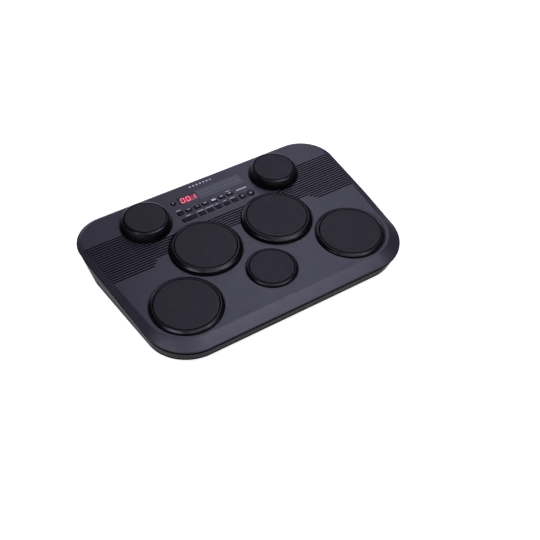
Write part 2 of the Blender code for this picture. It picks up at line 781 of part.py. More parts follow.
def socket_cutter():
    """Holes through the rear wall, in world axes."""
    bm = bmesh.new()
    turn = Matrix.Rotation(OUTWARD[0], 4, "X")
    for name, x in SOCKETS_X.items():
        middle = Matrix.Translation((x, REAR_WALL_Y, SOCKET_Z))
        if name == "usb_port":
            half_x, half_z = USB_HALF[0] + USB_CLEARANCE, USB_HALF[1] + USB_CLEARANCE
            add_box(bm, (x - half_x, REAR_WALL_Y - HOLE_LENGTH / 2, SOCKET_Z - half_z),
                    (x + half_x, REAR_WALL_Y + HOLE_LENGTH / 2, SOCKET_Z + half_z))
            continue
        radius = (DC_NECK if name == "dc_inlet" else JACK_NECK) + GAP
        bmesh.ops.create_cone(bm, cap_ends=True, segments=24, radius1=radius, radius2=radius,
                              depth=HOLE_LENGTH, matrix=middle @ turn)
    return cutter("socket_holes", bm, False)


def make_usb_port():
    x = SOCKETS_X["usb_port"]
    back, front = USB_REACH
    bm = bmesh.new()
    add_box(bm, (x - USB_HALF[0], REAR_WALL_Y + back, SOCKET_Z - USB_HALF[1]),
            (x + USB_HALF[0], REAR_WALL_Y + front, SOCKET_Z + USB_HALF[1]))
    made = place(object_from("usb_port", bm), STEEL, on_panel=False)
    hole = bmesh.new()
    add_box(hole, (x - USB_MOUTH[0], REAR_WALL_Y - USB_MOUTH_DEPTH, SOCKET_Z - USB_MOUTH[1]),
            (x + USB_MOUTH[0], REAR_WALL_Y + front + OVER, SOCKET_Z + USB_MOUTH[1]))
    boolean(made, cutter("usb_mouth", hole, False))
    return made


def make_sockets():
    for name, x in SOCKETS_X.items():
        if name == "usb_port":
            make_usb_port()
            continue
        profile = dc_profile() if name == "dc_inlet" else jack_profile()
        made = turned(name, profile, steps=20)
        place(made, SOCKET_PLASTIC, (x, REAR_WALL_Y, SOCKET_Z), OUTWARD, on_panel=False)


# ---------------------------------------------------------------- assembly
make_top_shell()
make_bottom_shell()
for pad_name, pad in PADS.items():
    make_rim(pad_name, pad)
    make_head(pad_name, pad)
    make_sensor(pad_name, pad)
for key_name, cell in key_cells().items():
    make_key(key_name, cell)
for key_name, cell in ROUND_KEYS.items():
    make_round_key(key_name, cell)
make_panel_electronics()
make_speaker(-1)
make_speaker(1)
for foot_name, spot in FEET.items():
    make_foot(foot_name, spot)
for index, spot in enumerate(SCREWS):
    make_screw(index + 1, spot)
make_battery_tray()
make_battery_door()
make_main_board()
make_sockets()
bpy.context.view_layer.update()
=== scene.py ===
"""The looks of the electronic drum pad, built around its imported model.

Metres, +Z up. The playing panel slopes, so most pieces are drawn in panel axes, x to the player's
right, y to the back and z off the panel's face, and are then put into the frame by PANEL.
"""

import json
import math

import bmesh
import bpy
from mathutils import Matrix, Vector


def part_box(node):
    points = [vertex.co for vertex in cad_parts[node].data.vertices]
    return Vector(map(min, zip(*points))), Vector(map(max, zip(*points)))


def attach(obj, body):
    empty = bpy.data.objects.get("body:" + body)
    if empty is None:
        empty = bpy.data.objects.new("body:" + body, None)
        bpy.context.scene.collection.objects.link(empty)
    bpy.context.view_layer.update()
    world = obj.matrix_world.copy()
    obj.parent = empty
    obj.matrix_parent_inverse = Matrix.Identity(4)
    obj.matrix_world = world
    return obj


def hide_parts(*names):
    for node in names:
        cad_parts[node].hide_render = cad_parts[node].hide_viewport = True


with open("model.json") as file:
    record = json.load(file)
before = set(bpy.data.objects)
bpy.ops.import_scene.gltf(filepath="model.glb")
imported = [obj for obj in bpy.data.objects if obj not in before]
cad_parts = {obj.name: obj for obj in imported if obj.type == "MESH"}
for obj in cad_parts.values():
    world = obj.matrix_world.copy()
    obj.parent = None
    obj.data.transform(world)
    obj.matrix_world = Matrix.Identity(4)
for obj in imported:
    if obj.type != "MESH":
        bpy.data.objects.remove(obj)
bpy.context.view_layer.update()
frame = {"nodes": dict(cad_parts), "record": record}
SLOTS = {part["node"]: part["material_slot"] for part in frame["record"]["subparts"]}

# -------- driving dimensions
TILT = math.radians(3.8)
GAP = 0.0003  # between pieces that touch
CASE_FLOOR_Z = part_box("battery_door")[0].z
CENTRE_Y = -0.1029  # the centre pad's place, where the panel axes start
CENTRE_DEPTH = 0.0550  # of the case under the centre pad
PANEL = (Matrix.Translation((0.0, CENTRE_Y, CASE_FLOOR_Z + CENTRE_DEPTH * math.cos(TILT)))
         @ Matrix.Rotation(TILT, 4, "X"))
WALL = 0.0025

# Plans of the case at its lip, of the panel's crease and of the case's underside
LIP = {"half": 0.2906, "taper": 0.061, "front": -0.1024, "back": 0.3043, "r_front": 0.0920,
       "r_back": 0.0739}
CREASE = {"half": 0.2738, "taper": 0.085, "front": -0.0774, "back": 0.2980, "r_front": 0.0800,
          "r_back": 0.0660}
TUB_FOOT = {"half": 0.2829, "taper": 0.061, "front": -0.0947, "back": 0.3043, "r_front": 0.0898,
            "r_back": 0.1100}
LIP_DROP_CENTRE = 0.0076
LIP_DROP_SLOPE = 0.048
LIP_DROP_MIN = 0.0034
LIP_HEIGHT = 0.0028
LIP_WALL = 0.0025
SEAM = 0.0012  # the open joint between lip and tub
TUB_DRAFT = 0.0015
TUB_TOP_INSET = 0.0012
TUB_BOTTOM_ROUND = 0.0035

# Pads: x, y, radius of the rim's base, of its lip and of the groove round the head, head height
PAD_PAIRS = {
    "rear": (0.1551, 0.2345, 0.0541, 0.0477, 0.0432, 0.0211),
    "mid": (0.0845, 0.1126, 0.0753, 0.0731, 0.0631, 0.0110),
    "front": (0.1917, 0.0007, 0.0730, 0.0710, 0.0635, 0.0062),
}
PADS = {row + side: (sign * x, *rest) for row, (x, *rest) in PAD_PAIRS.items()
        for side, sign in (("_left", -1), ("_right", 1))}
PADS["centre"] = (0.0, 0.0, 0.0526, 0.0508, 0.0452, 0.0057)
GROOVE_HALF = 0.0010
CREST_BELOW_HEAD = 0.0012
RIM_SLOPE_SHARE = 0.72  # how much of a rim's top slopes down to its lip
RIM_SLOPE_FALL = 0.62  # how steeply, in height over width
HEAD_THICKNESS = 0.0060
HEAD_CROWN = 0.0003
RIM_BOTTOM = -0.0060
LEDGE_DEPTH = 0.0100
LEDGE_WIDTH = 0.0090
TALL_LEDGE_Z = 0.0050  # a rim whose ledge is higher has a hollow skirt
SPIGOT_WALL = 0.0020
SPIGOT_CLEARANCE = 0.0004
RECESS = 0.0012  # the rims stand in shallow recesses this deep
RECESS_GAP = 0.0011
RECESS_CHAMFER = 0.0003

# The rib band, counted from the back: rows in two halves, then whole rows, then ever shorter halves
RIB_COUNT = 18
RIB_PITCH = 0.00631
RIB_BACK_Y = 0.2292
RIB_TOP_WIDTH = 0.0031
RIB_FLOOR_WIDTH = 0.0027
RIB_DEPTH = 0.0018
RIB_END_INSET = -0.0006
RIB_FIRST_FULL = 8
RIB_FIRST_SHORT = 15
RIB_SHORT_X = 0.1766
RIB_DEEP_X = 0.1551
SPEAKER = (0.2336, 0.1640)
SLOT_RADIUS = 0.0310
SLOT_WIDTH = 0.0018
SHORTEST_SLOT = 0.0100  # half its length

# Keys: x, y, then width and depth, or the radius of a round one
KEY_PITCH = 0.0198
KEY_SIZE = (0.0136, 0.0092)
KEY_FIRST_X = -0.0788
KEY_UPPER_Y, KEY_LOWER_Y = 0.2267, 0.2048
WIDE_KEY = (-0.0690, 0.2048, 0.0336, 0.0092)
SQUARE_KEY = (0.0599, 0.2070, 0.0140, 0.0136)
ROUND_KEYS = {"key_round": (0.0796, 0.2070, 0.0086), "key_power": (-0.0780, 0.2599, 0.0050)}
KEY_TOP = 0.0015
KEY_BOTTOM = -0.0060
KEY_FLANGE = 0.0015
KEY_FLANGE_REACH = 0.0014
KEY_CLEARANCE = 0.0005
KEY_CORNER = 0.0012
KEY_EDGE = 0.0006
KEY_DISH = 0.0003
DISPLAY = (-0.0438, 0.2592, 0.0460, 0.0200)
DISPLAY_CORNER = 0.0008
DIGITS_SHIFT = 0.0008
OPENING_DEPTH = 0.0070
CHAMFER = 0.0004

# Tub, battery bay, posts and screws
RIM_WALL = 0.0046
TONGUE_INSET = 0.0030
TONGUE_BELOW = 0.0012
BAY_CENTRE = (0.0, 0.0500)
BAY_SIZE = (0.1560, 0.0840)
BAY_DEPTH = 0.0300
TRAY_WALL = 0.0020
TRAY_FLANGE = (0.0040, 0.0015)
FRAME_REACH = 0.0140
FRAME_DEPTH = 0.0052
DOOR_SIZE = (0.1660, 0.0940, 0.0019)
DOOR_RECESS = 0.0022
DOOR_TRAVEL = 0.0120
POST_LENGTH = 0.0080
POST_RADIUS = 0.0050
BOSS_RADIUS = 0.0070
HEAD_BORE = 0.0048
SHANK_BORE = 0.0020
BOSS_HEAD = 0.0060
SCREWS = ((-0.2620, 0.1000), (0.2620, 0.1000), (-0.1050, -0.0680), (0.1050, -0.0680))

# Rear sockets: x of each, and the radii of the two round kinds where they pass the wall
SOCKETS_X = {"dc_inlet": -0.0700, "usb_port": -0.0400, "phones_socket": 0.0, "hi_hat_socket": 0.0350,
             "kick_socket": 0.0650}
SOCKET_Z = 0.0300
REAR_WALL_Y = 0.2016
JACK_BUSH = 0.0050
INLET_BUSH = 0.0045
USB_HALF = (0.0060, 0.0055)
USB_CLEARANCE = 0.0004

ROUND_STEPS = 128
CORNER_STEPS = 28
SIDE_STEPS = 10
SOFT_STEPS = 5
SHARP_ANGLE = math.radians(30.0)
ON_AXIS = 1e-7  # a smaller radius is a point on the axis


# -------- node materials
NOISE_RANGE = (0.3, 0.7)  # where most of a noise texture's values lie


class Paint:
    """A node material whose colour, roughness and bump vary over the surface."""

    def __init__(self, name, colour, roughness, metallic=0.0, **sockets):
        self.material = bpy.data.materials.new(name)
        self.material.use_nodes = True
        self.tree = self.material.node_tree
        self.shader = self.tree.nodes["Principled BSDF"]
        self.colour, self.roughness = colour, roughness
        self.shader.inputs["Base Color"].default_value = (*colour, 1.0)
        self.shader.inputs["Roughness"].default_value = roughness
        self.shader.inputs["Metallic"].default_value = metallic
        for socket, value in sockets.items():
            self.shader.inputs[socket.replace("_", " ")].default_value = value
        self.place = self.node("ShaderNodeTexCoord").outputs["Object"]

    def node(self, kind, **settings):
        made = self.tree.nodes.new(kind)
        for key, value in settings.items():
            setattr(made, key, value)
        return made

    def join(self, output, target):
        self.tree.links.new(output, target)

    def noise(self, scale, detail=2.0, stretch=None):
        """Noise of a size in cells per metre, stretched along the axes where asked."""
        made = self.node("ShaderNodeTexNoise")
        made.inputs["Scale"].default_value = scale
        made.inputs["Detail"].default_value = detail
        source = self.place
        if stretch:
            mapping = self.node("ShaderNodeMapping")
            mapping.inputs["Scale"].default_value = stretch
            self.join(source, mapping.inputs["Vector"])
            source = mapping.outputs["Vector"]
        self.join(source, made.inputs["Vector"])
        return made.outputs["Fac"]

    def map_range(self, value, source, target, **settings):
        """The value moved from one range to another, each given as (from, to)."""
        made = self.node("ShaderNodeMapRange", **settings)
        for side, ends in (("From", source), ("To", target)):
            made.inputs[side + " Min"].default_value, made.inputs[side + " Max"].default_value = ends
        self.join(value, made.inputs["Value"])
        return made.outputs["Result"]

    def spread(self, factor, low, high):
        """A noise's middle range stretched over low to high."""
        return self.map_range(factor, NOISE_RANGE, (low, high))

    def tint(self, factor, amount):
        """Colour drifts lighter and darker by a share, where the factor is high and low."""
        mix = self.node("ShaderNodeMix", data_type="RGBA")
        mix.inputs["A"].default_value = (*[part * (1 - amount) for part in self.colour], 1.0)
        mix.inputs["B"].default_value = (*[part * (1 + amount) for part in self.colour], 1.0)
        self.join(self.spread(factor, 0.0, 1.0), mix.inputs["Factor"])
        self.join(mix.outputs["Result"], self.shader.inputs["Base Color"])
        return self

    def vary_roughness(self, factor, amount):
        low, high = self.roughness - amount, self.roughness + amount
        self.join(self.spread(factor, low, high), self.shader.inputs["Roughness"])
        return self

    def bump(self, height, strength, distance):
        made = self.node("ShaderNodeBump")
        made.inputs["Strength"].default_value = strength
        made.inputs["Distance"].default_value = distance
        self.join(height, made.inputs["Height"])
        self.join(made.outputs["Normal"], self.shader.inputs["Normal"])
        return self


def moulded(name, colour, roughness, grain=2600.0, relief=0.00003, **sockets):
    """Moulded plastic: fine spark-eroded grain, with slow drifts in shade and gloss."""
    paint = Paint(name, colour, roughness, **sockets)
    paint.tint(paint.noise(14.0, 3.0), 0.05)
    paint.vary_roughness(paint.noise(60.0, 4.0), 0.03)
    paint.bump(paint.noise(grain, 1.0), 0.35, relief)
    return paint.material


def rubber(name, colour, roughness):
    """Matte rubber: a pebbled skin with faint dusty patches."""
    paint = Paint(name, colour, roughness, Specular_IOR_Level=0.35)
    paint.tint(paint.noise(22.0, 4.0), 0.08)
    paint.vary_roughness(paint.noise(90.0, 3.0), 0.05)
    paint.bump(paint.noise(1500.0, 2.0), 0.4, 0.00005)
    return paint.material


def metal(name, colour, roughness):
    """Plated or stamped metal with fine drawn lines."""
    paint = Paint(name, colour, roughness, metallic=1.0)
    lines = paint.noise(300.0, 3.0, stretch=(1.0, 40.0, 1.0))
    paint.tint(lines, 0.10)
    paint.vary_roughness(lines, 0.08)
    paint.bump(lines, 0.15, 0.00002)
    return paint.material


def circuit_board(name):
    """Solder mask with copper tracks showing through as slightly raised, lighter lines."""
    paint = Paint(name, (0.020, 0.130, 0.050), 0.35)
    tracks = paint.node("ShaderNodeTexVoronoi", feature="DISTANCE_TO_EDGE", distance="CHEBYCHEV")
    tracks.inputs["Scale"].default_value = 160.0
    paint.join(paint.place, tracks.inputs["Vector"])
    edge = paint.node("ShaderNodeMath", operation="LESS_THAN")
    edge.inputs[1].default_value = 0.06
    paint.join(tracks.outputs["Distance"], edge.inputs[0])
    paint.tint(edge.outputs["Value"], 0.35)
    paint.bump(edge.outputs["Value"], 0.3, 0.00004)
    return paint.material


def paper_cone(name):
    """A loudspeaker cone's pressed paper."""
    paint = Paint(name, (0.020, 0.020, 0.022), 0.75)
    fibres = paint.noise(900.0, 5.0)
    paint.tint(fibres, 0.25)
    paint.bump(fibres, 0.5, 0.00008)
    return paint.material


GLOW_REACH = (0.0250, 0.0125)  # half width and height of the light round the digits
GLOW_CORE = 0.35  # the share of the reach within which it is brightest
GLOW_STRENGTH = 0.20
DIGIT_STRENGTH = (1.10, 1.40)


def glowing_window(name):
    """Smoked plastic over the display, with the digits' red light spreading in it."""
    paint = Paint(name, (0.040, 0.034, 0.043), 0.22)
    paint.tint(paint.noise(30.0), 0.06)
    middle = PANEL @ Vector((DISPLAY[0] + DIGITS_SHIFT, DISPLAY[1], 0.0))
    shift = paint.node("ShaderNodeVectorMath", operation="SUBTRACT")
    shift.inputs[1].default_value = middle
    paint.join(paint.place, shift.inputs[0])
    squeeze = paint.node("ShaderNodeVectorMath", operation="MULTIPLY")
    squeeze.inputs[1].default_value = (1 / GLOW_REACH[0], 1 / GLOW_REACH[1], 0.0)
    paint.join(shift.outputs["Vector"], squeeze.inputs[0])
    reach = paint.node("ShaderNodeVectorMath", operation="LENGTH")
    paint.join(squeeze.outputs["Vector"], reach.inputs[0])
    fall = paint.map_range(reach.outputs["Value"], (1.0, GLOW_CORE), (0.0, GLOW_STRENGTH),
                           interpolation_type="SMOOTHSTEP")
    paint.shader.inputs["Emission Color"].default_value = (1.0, 0.06, 0.15, 1.0)
    paint.join(fall, paint.shader.inputs["Emission Strength"])
    return paint.material


def light_segment(name):
    """A lit display segment, a little uneven in its brightness."""
    paint = Paint(name, (0.25, 0.01, 0.02), 0.40)
    paint.shader.inputs["Emission Color"].default_value = (1.0, 0.15, 0.27, 1.0)
    strength = paint.spread(paint.noise(500.0), *DIGIT_STRENGTH)
    paint.join(strength, paint.shader.inputs["Emission Strength"])
    return paint.material


def print_ink(name, colour):
    """Silk-screened ink, a little thin in places."""
    paint = Paint(name, colour, 0.55)
    paint.tint(paint.noise(1800.0, 3.0), 0.12)
    return paint.material


CASE_TOP = moulded("case_top_plastic", (0.0205, 0.0200, 0.0275), 0.40)
CASE_BOTTOM = moulded("case_bottom_plastic", (0.0045, 0.0045, 0.0047), 0.40,
                      Specular_IOR_Level=0.02)
HEAD_RUBBER = rubber("head_rubber", (0.0105, 0.0100, 0.0130), 0.62)
# Painted shade: a near-black plastic with no reflection, laid where shade falls: in the rib grooves and
# sound slots, on the rims' bore walls, on the edge under the lip and on the tub's top and bottom bands.
PAINTED_SHADE_PLASTIC = moulded("painted_shade_plastic", (0.0012, 0.0012, 0.0015), 0.60,
                         Specular_IOR_Level=0.0)
RIM_PLASTIC = moulded("rim_plastic", (0.0030, 0.0030, 0.0036), 0.25, grain=900.0, relief=0.000002,
                      Specular_IOR_Level=0.27)
KEY_PLASTIC = moulded("key_plastic", (0.0022, 0.0022, 0.0028), 0.40, grain=1500.0, relief=0.000004,
                      Specular_IOR_Level=0.20)
SOCKET_PLASTIC = moulded("socket_plastic", (0.0080, 0.0080, 0.0085), 0.35, relief=0.00001)
FOOT_RUBBER = rubber("foot_rubber", (0.018, 0.018, 0.018), 0.85)
MODULE_PLASTIC = moulded("display_module_plastic", (0.45, 0.43, 0.41), 0.50)
STEEL = metal("plated_steel", (0.55, 0.55, 0.56), 0.28)
BOARD = circuit_board("circuit_board")
CONE = paper_cone("speaker_cone")
WINDOW = glowing_window("display_window_red")
SEGMENT = light_segment("lit_segment")
# White print, and also the painted highlight on the power key's dome.
WHITE_INK_AND_KEY_HIGHLIGHT = print_ink("white_ink_and_key_highlight", (0.62, 0.62, 0.66))
GREY_INK = print_ink("grey_ink", (0.30, 0.30, 0.33))
PLATE_INK = print_ink("legend_plate_ink", (0.072, 0.072, 0.083))


# -------- drawing helpers
def added(name, data):
    """A new object in the scene."""
    made = bpy.data.objects.new(name, data)
    bpy.context.scene.collection.objects.link(made)
    return made


def shaded(mesh):
    """The mesh with smooth faces that break at its sharp edges."""
    mesh.shade_smooth()
    mesh.set_sharp_from_angle(angle=SHARP_ANGLE)
    return mesh


def mesh_from(name, bm):
    """A shaded mesh with its faces pointing out."""
    bmesh.ops.recalc_face_normals(bm, faces=bm.faces)
    mesh = bpy.data.meshes.new(name)
    bm.to_mesh(mesh)
    bm.free()
    return shaded(mesh)


def piece(name, shape, paints, body, nodes=(), place=PANEL, slot=None):
    """Adds a finished piece, from a mesh or a bmesh, that rides on a body and stands for CAD nodes."""
    mesh = mesh_from(name, shape) if isinstance(shape, bmesh.types.BMesh) else shape
    if place is not None:
        mesh.transform(place)
    made = added(name, mesh)
    for index, paint in enumerate(paints):
        if index < len(mesh.materials):
            mesh.materials[index] = paint
        else:
            mesh.materials.append(paint)
    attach(made, body)
    if nodes:
        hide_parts(*nodes)
    slot = slot or (SLOTS[nodes[0]] if nodes else None)
    return made


def with_slots(mesh, count):
    """Room for a number of materials, so that a Boolean keeps each face's own."""
    for _ in range(count):
        mesh.materials.append(None)
    return mesh


def carve(bm, cuts, slots=1):
    """The mesh of a body after each (tool, operation) of the cuts: DIFFERENCE or UNION."""
    body = added("carved", with_slots(mesh_from("carved", bm), slots))
    tools = []
    for tool, operation in cuts:
        other = added("tool", with_slots(mesh_from("tool", tool), slots))
        step = body.modifiers.new("cut", "BOOLEAN")
        step.operation = operation
        step.object = other
        tools.append(other)
    graph = bpy.context.evaluated_depsgraph_get()
    result = bpy.data.meshes.new_from_object(body.evaluated_get(graph))
    assert len(result.polygons) > 0, "a cut left nothing"
    for spare in [body, *tools]:
        bpy.data.objects.remove(spare, do_unlink=True)
    return shaded(result)


def bridge(bm, upper, lower):
    """Faces between two closed rings of vertices of equal count, or a ring and a point."""
    count = max(len(upper), len(lower))
    faces = []
    for i in range(count):
        j = (i + 1) % count
        corners = [upper[i % len(upper)], lower[i % len(lower)], lower[j % len(lower)],
                   upper[j % len(upper)]]
        faces.append(bm.faces.new(list(dict.fromkeys(corners))))
    return faces


def loft(bm, rings, cap_first=True, cap_last=True, closed=False):
    """A skin through rings of points, with flat ends."""
    rows = [[bm.verts.new(point) for point in ring] for ring in rings]
    for upper, lower in zip(rows, rows[1:]):
        bridge(bm, upper, lower)
    if closed:
        bridge(bm, rows[-1], rows[0])
        return bm
    if cap_first:
        bm.faces.new(rows[0])
    if cap_last:
        bm.faces.new(list(reversed(rows[-1])))
    return bm


def softened(points, setbacks, closed=False):
    """A line of 2D points whose corners are rounded, each by its own setback."""
    result = []
    count = len(points)
    for i, (point, setback) in enumerate(zip(points, setbacks)):
        at_end = not closed and i in (0, count - 1)
        if at_end or not setback:
            result.append(tuple(point))
            continue
        corner = Vector(point)
        before, after = Vector(points[i - 1]), Vector(points[(i + 1) % count])
        start = corner + (before - corner).normalized() * setback
        end = corner + (after - corner).normalized() * setback
        for k in range(SOFT_STEPS + 1):
            s = k / SOFT_STEPS
            result.append(tuple(start * (1 - s) ** 2 + corner * 2 * s * (1 - s) + end * s ** 2))
    return result


def turned(profile, centre=(0.0, 0.0), closed=False, steps=ROUND_STEPS, bm=None):
    """A solid of revolution from (radius, z) points."""
    bm = bm or bmesh.new()
    rings = []
    for radius, z in profile:
        if radius < ON_AXIS:
            rings.append([(centre[0], centre[1], z)])
            continue
        turns = [2 * math.pi * i / steps for i in range(steps)]
        rings.append([(centre[0] + radius * math.cos(a), centre[1] + radius * math.sin(a), z)
                      for a in turns])
    return loft(bm, rings, cap_first=False, cap_last=False, closed=closed)


def rounded_rectangle(x, y, half_x, half_y, radius, z, steps=6):
    """A ring round a rectangle with quarter-circle corners."""
    ring = []
    for quarter, (sx, sy) in enumerate(((1, 1), (-1, 1), (-1, -1), (1, -1))):
        for i in range(steps + 1):
            angle = math.pi / 2 * (quarter + i / steps)
            ring.append((x + sx * (half_x - radius) + radius * math.cos(angle),
                         y + sy * (half_y - radius) + radius * math.sin(angle), z))
    return ring


def soft_block(x, y, half_x, half_y, corner, z_low, z_high, edge, foot=()):
    """A block with round corners and a rounded top edge; foot holds rings that go below it."""
    rings = [*foot, rounded_rectangle(x, y, half_x, half_y, corner, z_low)]
    smallest_corner = 0.0001
    for k in range(SOFT_STEPS + 1):
        angle = math.pi / 2 * k / SOFT_STEPS
        inset = edge * (1 - math.cos(angle))
        radius = max(corner - inset, smallest_corner)
        z = z_high - edge + edge * math.sin(angle)
        rings.append(rounded_rectangle(x, y, half_x - inset, half_y - inset, radius, z))
    return loft(bmesh.new(), rings)


def raised(ring, heights):
    """The ring's outline repeated at each height."""
    return [[(x, y, z) for x, y, _ in ring] for z in heights]


def prism(bm, points, z_low, z_high, material=0):
    """An upright prism over a 2D outline."""
    before = len(bm.faces)
    loft(bm, [[(x, y, z) for x, y in points] for z in (z_low, z_high)])
    bm.faces.ensure_lookup_table()
    for face in bm.faces[before:]:
        face.material_index = material
    return bm


# -------- case outlines
def outline(inset, half, taper, front, back, r_front, r_back):
    """Plan of the case as a ring of (x, y): tapering sides, straight ends, round corners."""
    lean = math.atan(taper)
    half = half - inset / math.cos(lean)
    front, back = front + inset, back - inset
    r_front, r_back = r_front - inset, r_back - inset
    y_front, y_back = front + r_front, back - r_back
    x_front = half + taper * y_front - r_front / math.cos(lean)
    x_back = half + taper * y_back - r_back / math.cos(lean)

    def arc(x, y, radius, start, end):
        step = (end - start) / CORNER_STEPS
        return [(x + radius * math.cos(start + i * step), y + radius * math.sin(start + i * step))
                for i in range(CORNER_STEPS + 1)]

    right = arc(x_front, y_front, r_front, -math.pi / 2, -lean)
    far = arc(x_back, y_back, r_back, -lean, math.pi / 2)
    start, end = Vector(right[-1]), Vector(far[0])
    right += [tuple(start.lerp(end, i / SIDE_STEPS)) for i in range(1, SIDE_STEPS)]
    right += far
    return right + [(-x, y) for x, y in reversed(right)]


def lip_drop(y):
    """How far the lip lies below the panel at a distance from the centre pad."""
    return max(LIP_DROP_MIN, LIP_DROP_CENTRE - LIP_DROP_SLOPE * y)


def floor_depth(y):
    """How far the case's underside lies below the panel."""
    return CENTRE_DEPTH + math.tan(TILT) * y


def lip_ring(inset, below):
    return [(x, y, -lip_drop(y) - below) for x, y in outline(inset, **LIP)]


def floor_ring(inset, above):
    return [(x, y, above - floor_depth(y)) for x, y in outline(inset, **TUB_FOOT)]


def crease_ring(inset, z):
    return [(x, y, z) for x, y in outline(inset, **CREASE)]


def between(first, second, share):
    """A ring part of the way from one ring to another."""
    return [tuple(Vector(a).lerp(Vector(b), share)) for a, b in zip(first, second)]


def soft_edge(first, corner, last):
    """Rings that round off the corner between two rings."""
    rings = []
    for k in range(SOFT_STEPS + 1):
        s = k / SOFT_STEPS
        rings.append(between(between(first, corner, s), between(corner, last, s), s))
    return rings


# -------- top shell
def rib_spans():
    """Each groove of the rib band as (y, start x, end x)."""
    spans = []
    for row in range(RIB_COUNT):
        y = RIB_BACK_Y - row * RIB_PITCH
        edge = CREASE["half"] + CREASE["taper"] * y - RIB_END_INSET
        if RIB_FIRST_FULL <= row < RIB_FIRST_SHORT:
            spans.append((y, -edge, edge))
            continue
        inner = RIB_DEEP_X
        if row >= RIB_FIRST_SHORT:
            inner = RIB_SHORT_X + (row - RIB_FIRST_SHORT + 1) * RIB_PITCH
        spans += [(y, -edge, -inner), (y, inner, edge)]
    return spans


ABOVE = 0.0010  # cutters stand this far out of the surface they cut


def painted_shade_cutter(bm):
    """The cutter, whose faces take the second material, the painted shade."""
    for face in bm.faces:
        face.material_index = 1
    return bm


def rib_cutter():
    """Grooves with sloping sides and ends, their faces painted shade-dark."""
    bm = bmesh.new()
    slope = (RIB_TOP_WIDTH - RIB_FLOOR_WIDTH) / 2 / RIB_DEPTH
    for y, start, end in rib_spans():
        rings = []
        for z in (-RIB_DEPTH, ABOVE):
            grow = (z + RIB_DEPTH) * slope
            half = RIB_FLOOR_WIDTH / 2 + grow
            rings.append([(start - grow, y - half, z), (end + grow, y - half, z),
                          (end + grow, y + half, z), (start - grow, y + half, z)])
        loft(bm, rings)
    return painted_shade_cutter(bm)


def slot_cutter():
    """Sound slots in the floors of the grooves over each loudspeaker, their faces painted shade-dark."""
    bm = bmesh.new()
    for row in range(RIB_COUNT):
        y = RIB_BACK_Y - row * RIB_PITCH
        reach = SLOT_RADIUS ** 2 - (y - SPEAKER[1]) ** 2
        if reach <= SHORTEST_SLOT ** 2:
            continue
        for side in (-1, 1):
            ring = rounded_rectangle(side * SPEAKER[0], y, math.sqrt(reach), SLOT_WIDTH / 2,
                                     SLOT_WIDTH / 2 - 0.0001, 0.0, 4)
            loft(bm, raised(ring, (-0.0060, ABOVE)))
    return painted_shade_cutter(bm)


def key_cells():
    """Every rectangular key as name: (x, y, width, depth)."""
    cells = {}
    for i in range(7):
        cells["key_upper_%d" % (i + 1)] = (KEY_FIRST_X + i * KEY_PITCH, KEY_UPPER_Y, *KEY_SIZE)
    cells["key_lower_wide"] = WIDE_KEY
    for i in range(2, 7):
        cells["key_lower_%d" % i] = (KEY_FIRST_X + i * KEY_PITCH, KEY_LOWER_Y, *KEY_SIZE)
    cells["key_square"] = SQUARE_KEY
    return cells


def square_opening(bm, cell, clearance, corner, chamfer):
    """Cutter for a rectangular hole with a chamfered mouth."""
    x, y, width, depth = cell
    half_x, half_y = width / 2 + clearance, depth / 2 + clearance
    loft(bm, [rounded_rectangle(x, y, half_x + grow, half_y + grow, corner + grow, z)
              for grow, z in ((0.0, -OPENING_DEPTH), (0.0, -chamfer), (chamfer * 2, chamfer))])


def opening_cutter():
    """Holes for the keys and the display window."""
    bm = bmesh.new()
    for cell in key_cells().values():
        square_opening(bm, cell, KEY_CLEARANCE, KEY_CORNER, CHAMFER)
    square_opening(bm, DISPLAY, 0.0, DISPLAY_CORNER, CHAMFER / 2)
    for x, y, radius in ROUND_KEYS.values():
        mouth = radius + KEY_CLEARANCE
        turned([(0.0, -OPENING_DEPTH), (mouth, -OPENING_DEPTH), (mouth, -CHAMFER),
                (mouth + CHAMFER * 2, CHAMFER), (0.0, CHAMFER)], (x, y), steps=48, bm=bm)
    return bm


def is_tall(head_z):
    """Whether a rim stands high enough for a hollow skirt."""
    return head_z - LEDGE_DEPTH > TALL_LEDGE_Z


def spigot_radius(groove, head_z):
    """Radius of the part of a rim that goes down through the panel."""
    return groove - SPIGOT_WALL if is_tall(head_z) else groove + GROOVE_HALF + SPIGOT_WALL


def pad_cutter():
    """A through hole for each rim's spigot and a chamfered recess round its foot."""
    bm = bmesh.new()
    deep, edge = -0.0120, RECESS_CHAMFER
    for x, y, base, _, groove, head_z in PADS.values():
        hole, recess = spigot_radius(groove, head_z) + SPIGOT_CLEARANCE, base + RECESS_GAP
        turned([(0.0, deep), (hole, deep), (hole, -RECESS), (recess, -RECESS), (recess, -edge),
                (recess + edge * 2, edge), (0.0, edge)], (x, y), bm=bm)
    return bm


def post_foot(spot):
    """World x, y and height at which a screw post stands on its boss."""
    under = PANEL @ Vector((*spot, -WALL))
    return Vector((under.x, under.y, under.z - POST_LENGTH))


def post_cutter(radius, z_low, z_high):
    """Cylinders on the screw spots, with heights from each post's foot, in panel axes.

    Without a lower height they start inside the case's floor.
    """
    bm = bmesh.new()
    for spot in SCREWS:
        foot = post_foot(spot)
        low = CASE_FLOOR_Z - foot.z + WALL / 2 if z_low is None else z_low
        turned([(0.0, foot.z + low), (radius, foot.z + low), (radius, foot.z + z_high),
                (0.0, foot.z + z_high)], foot.xy, steps=32, bm=bm)
    bm.transform(PANEL.inverted())
    return bm


SHADED_LIP_EDGE_SLOPE = 0.35  # faces steeper than this take painted shade, as a dark edge under the lip
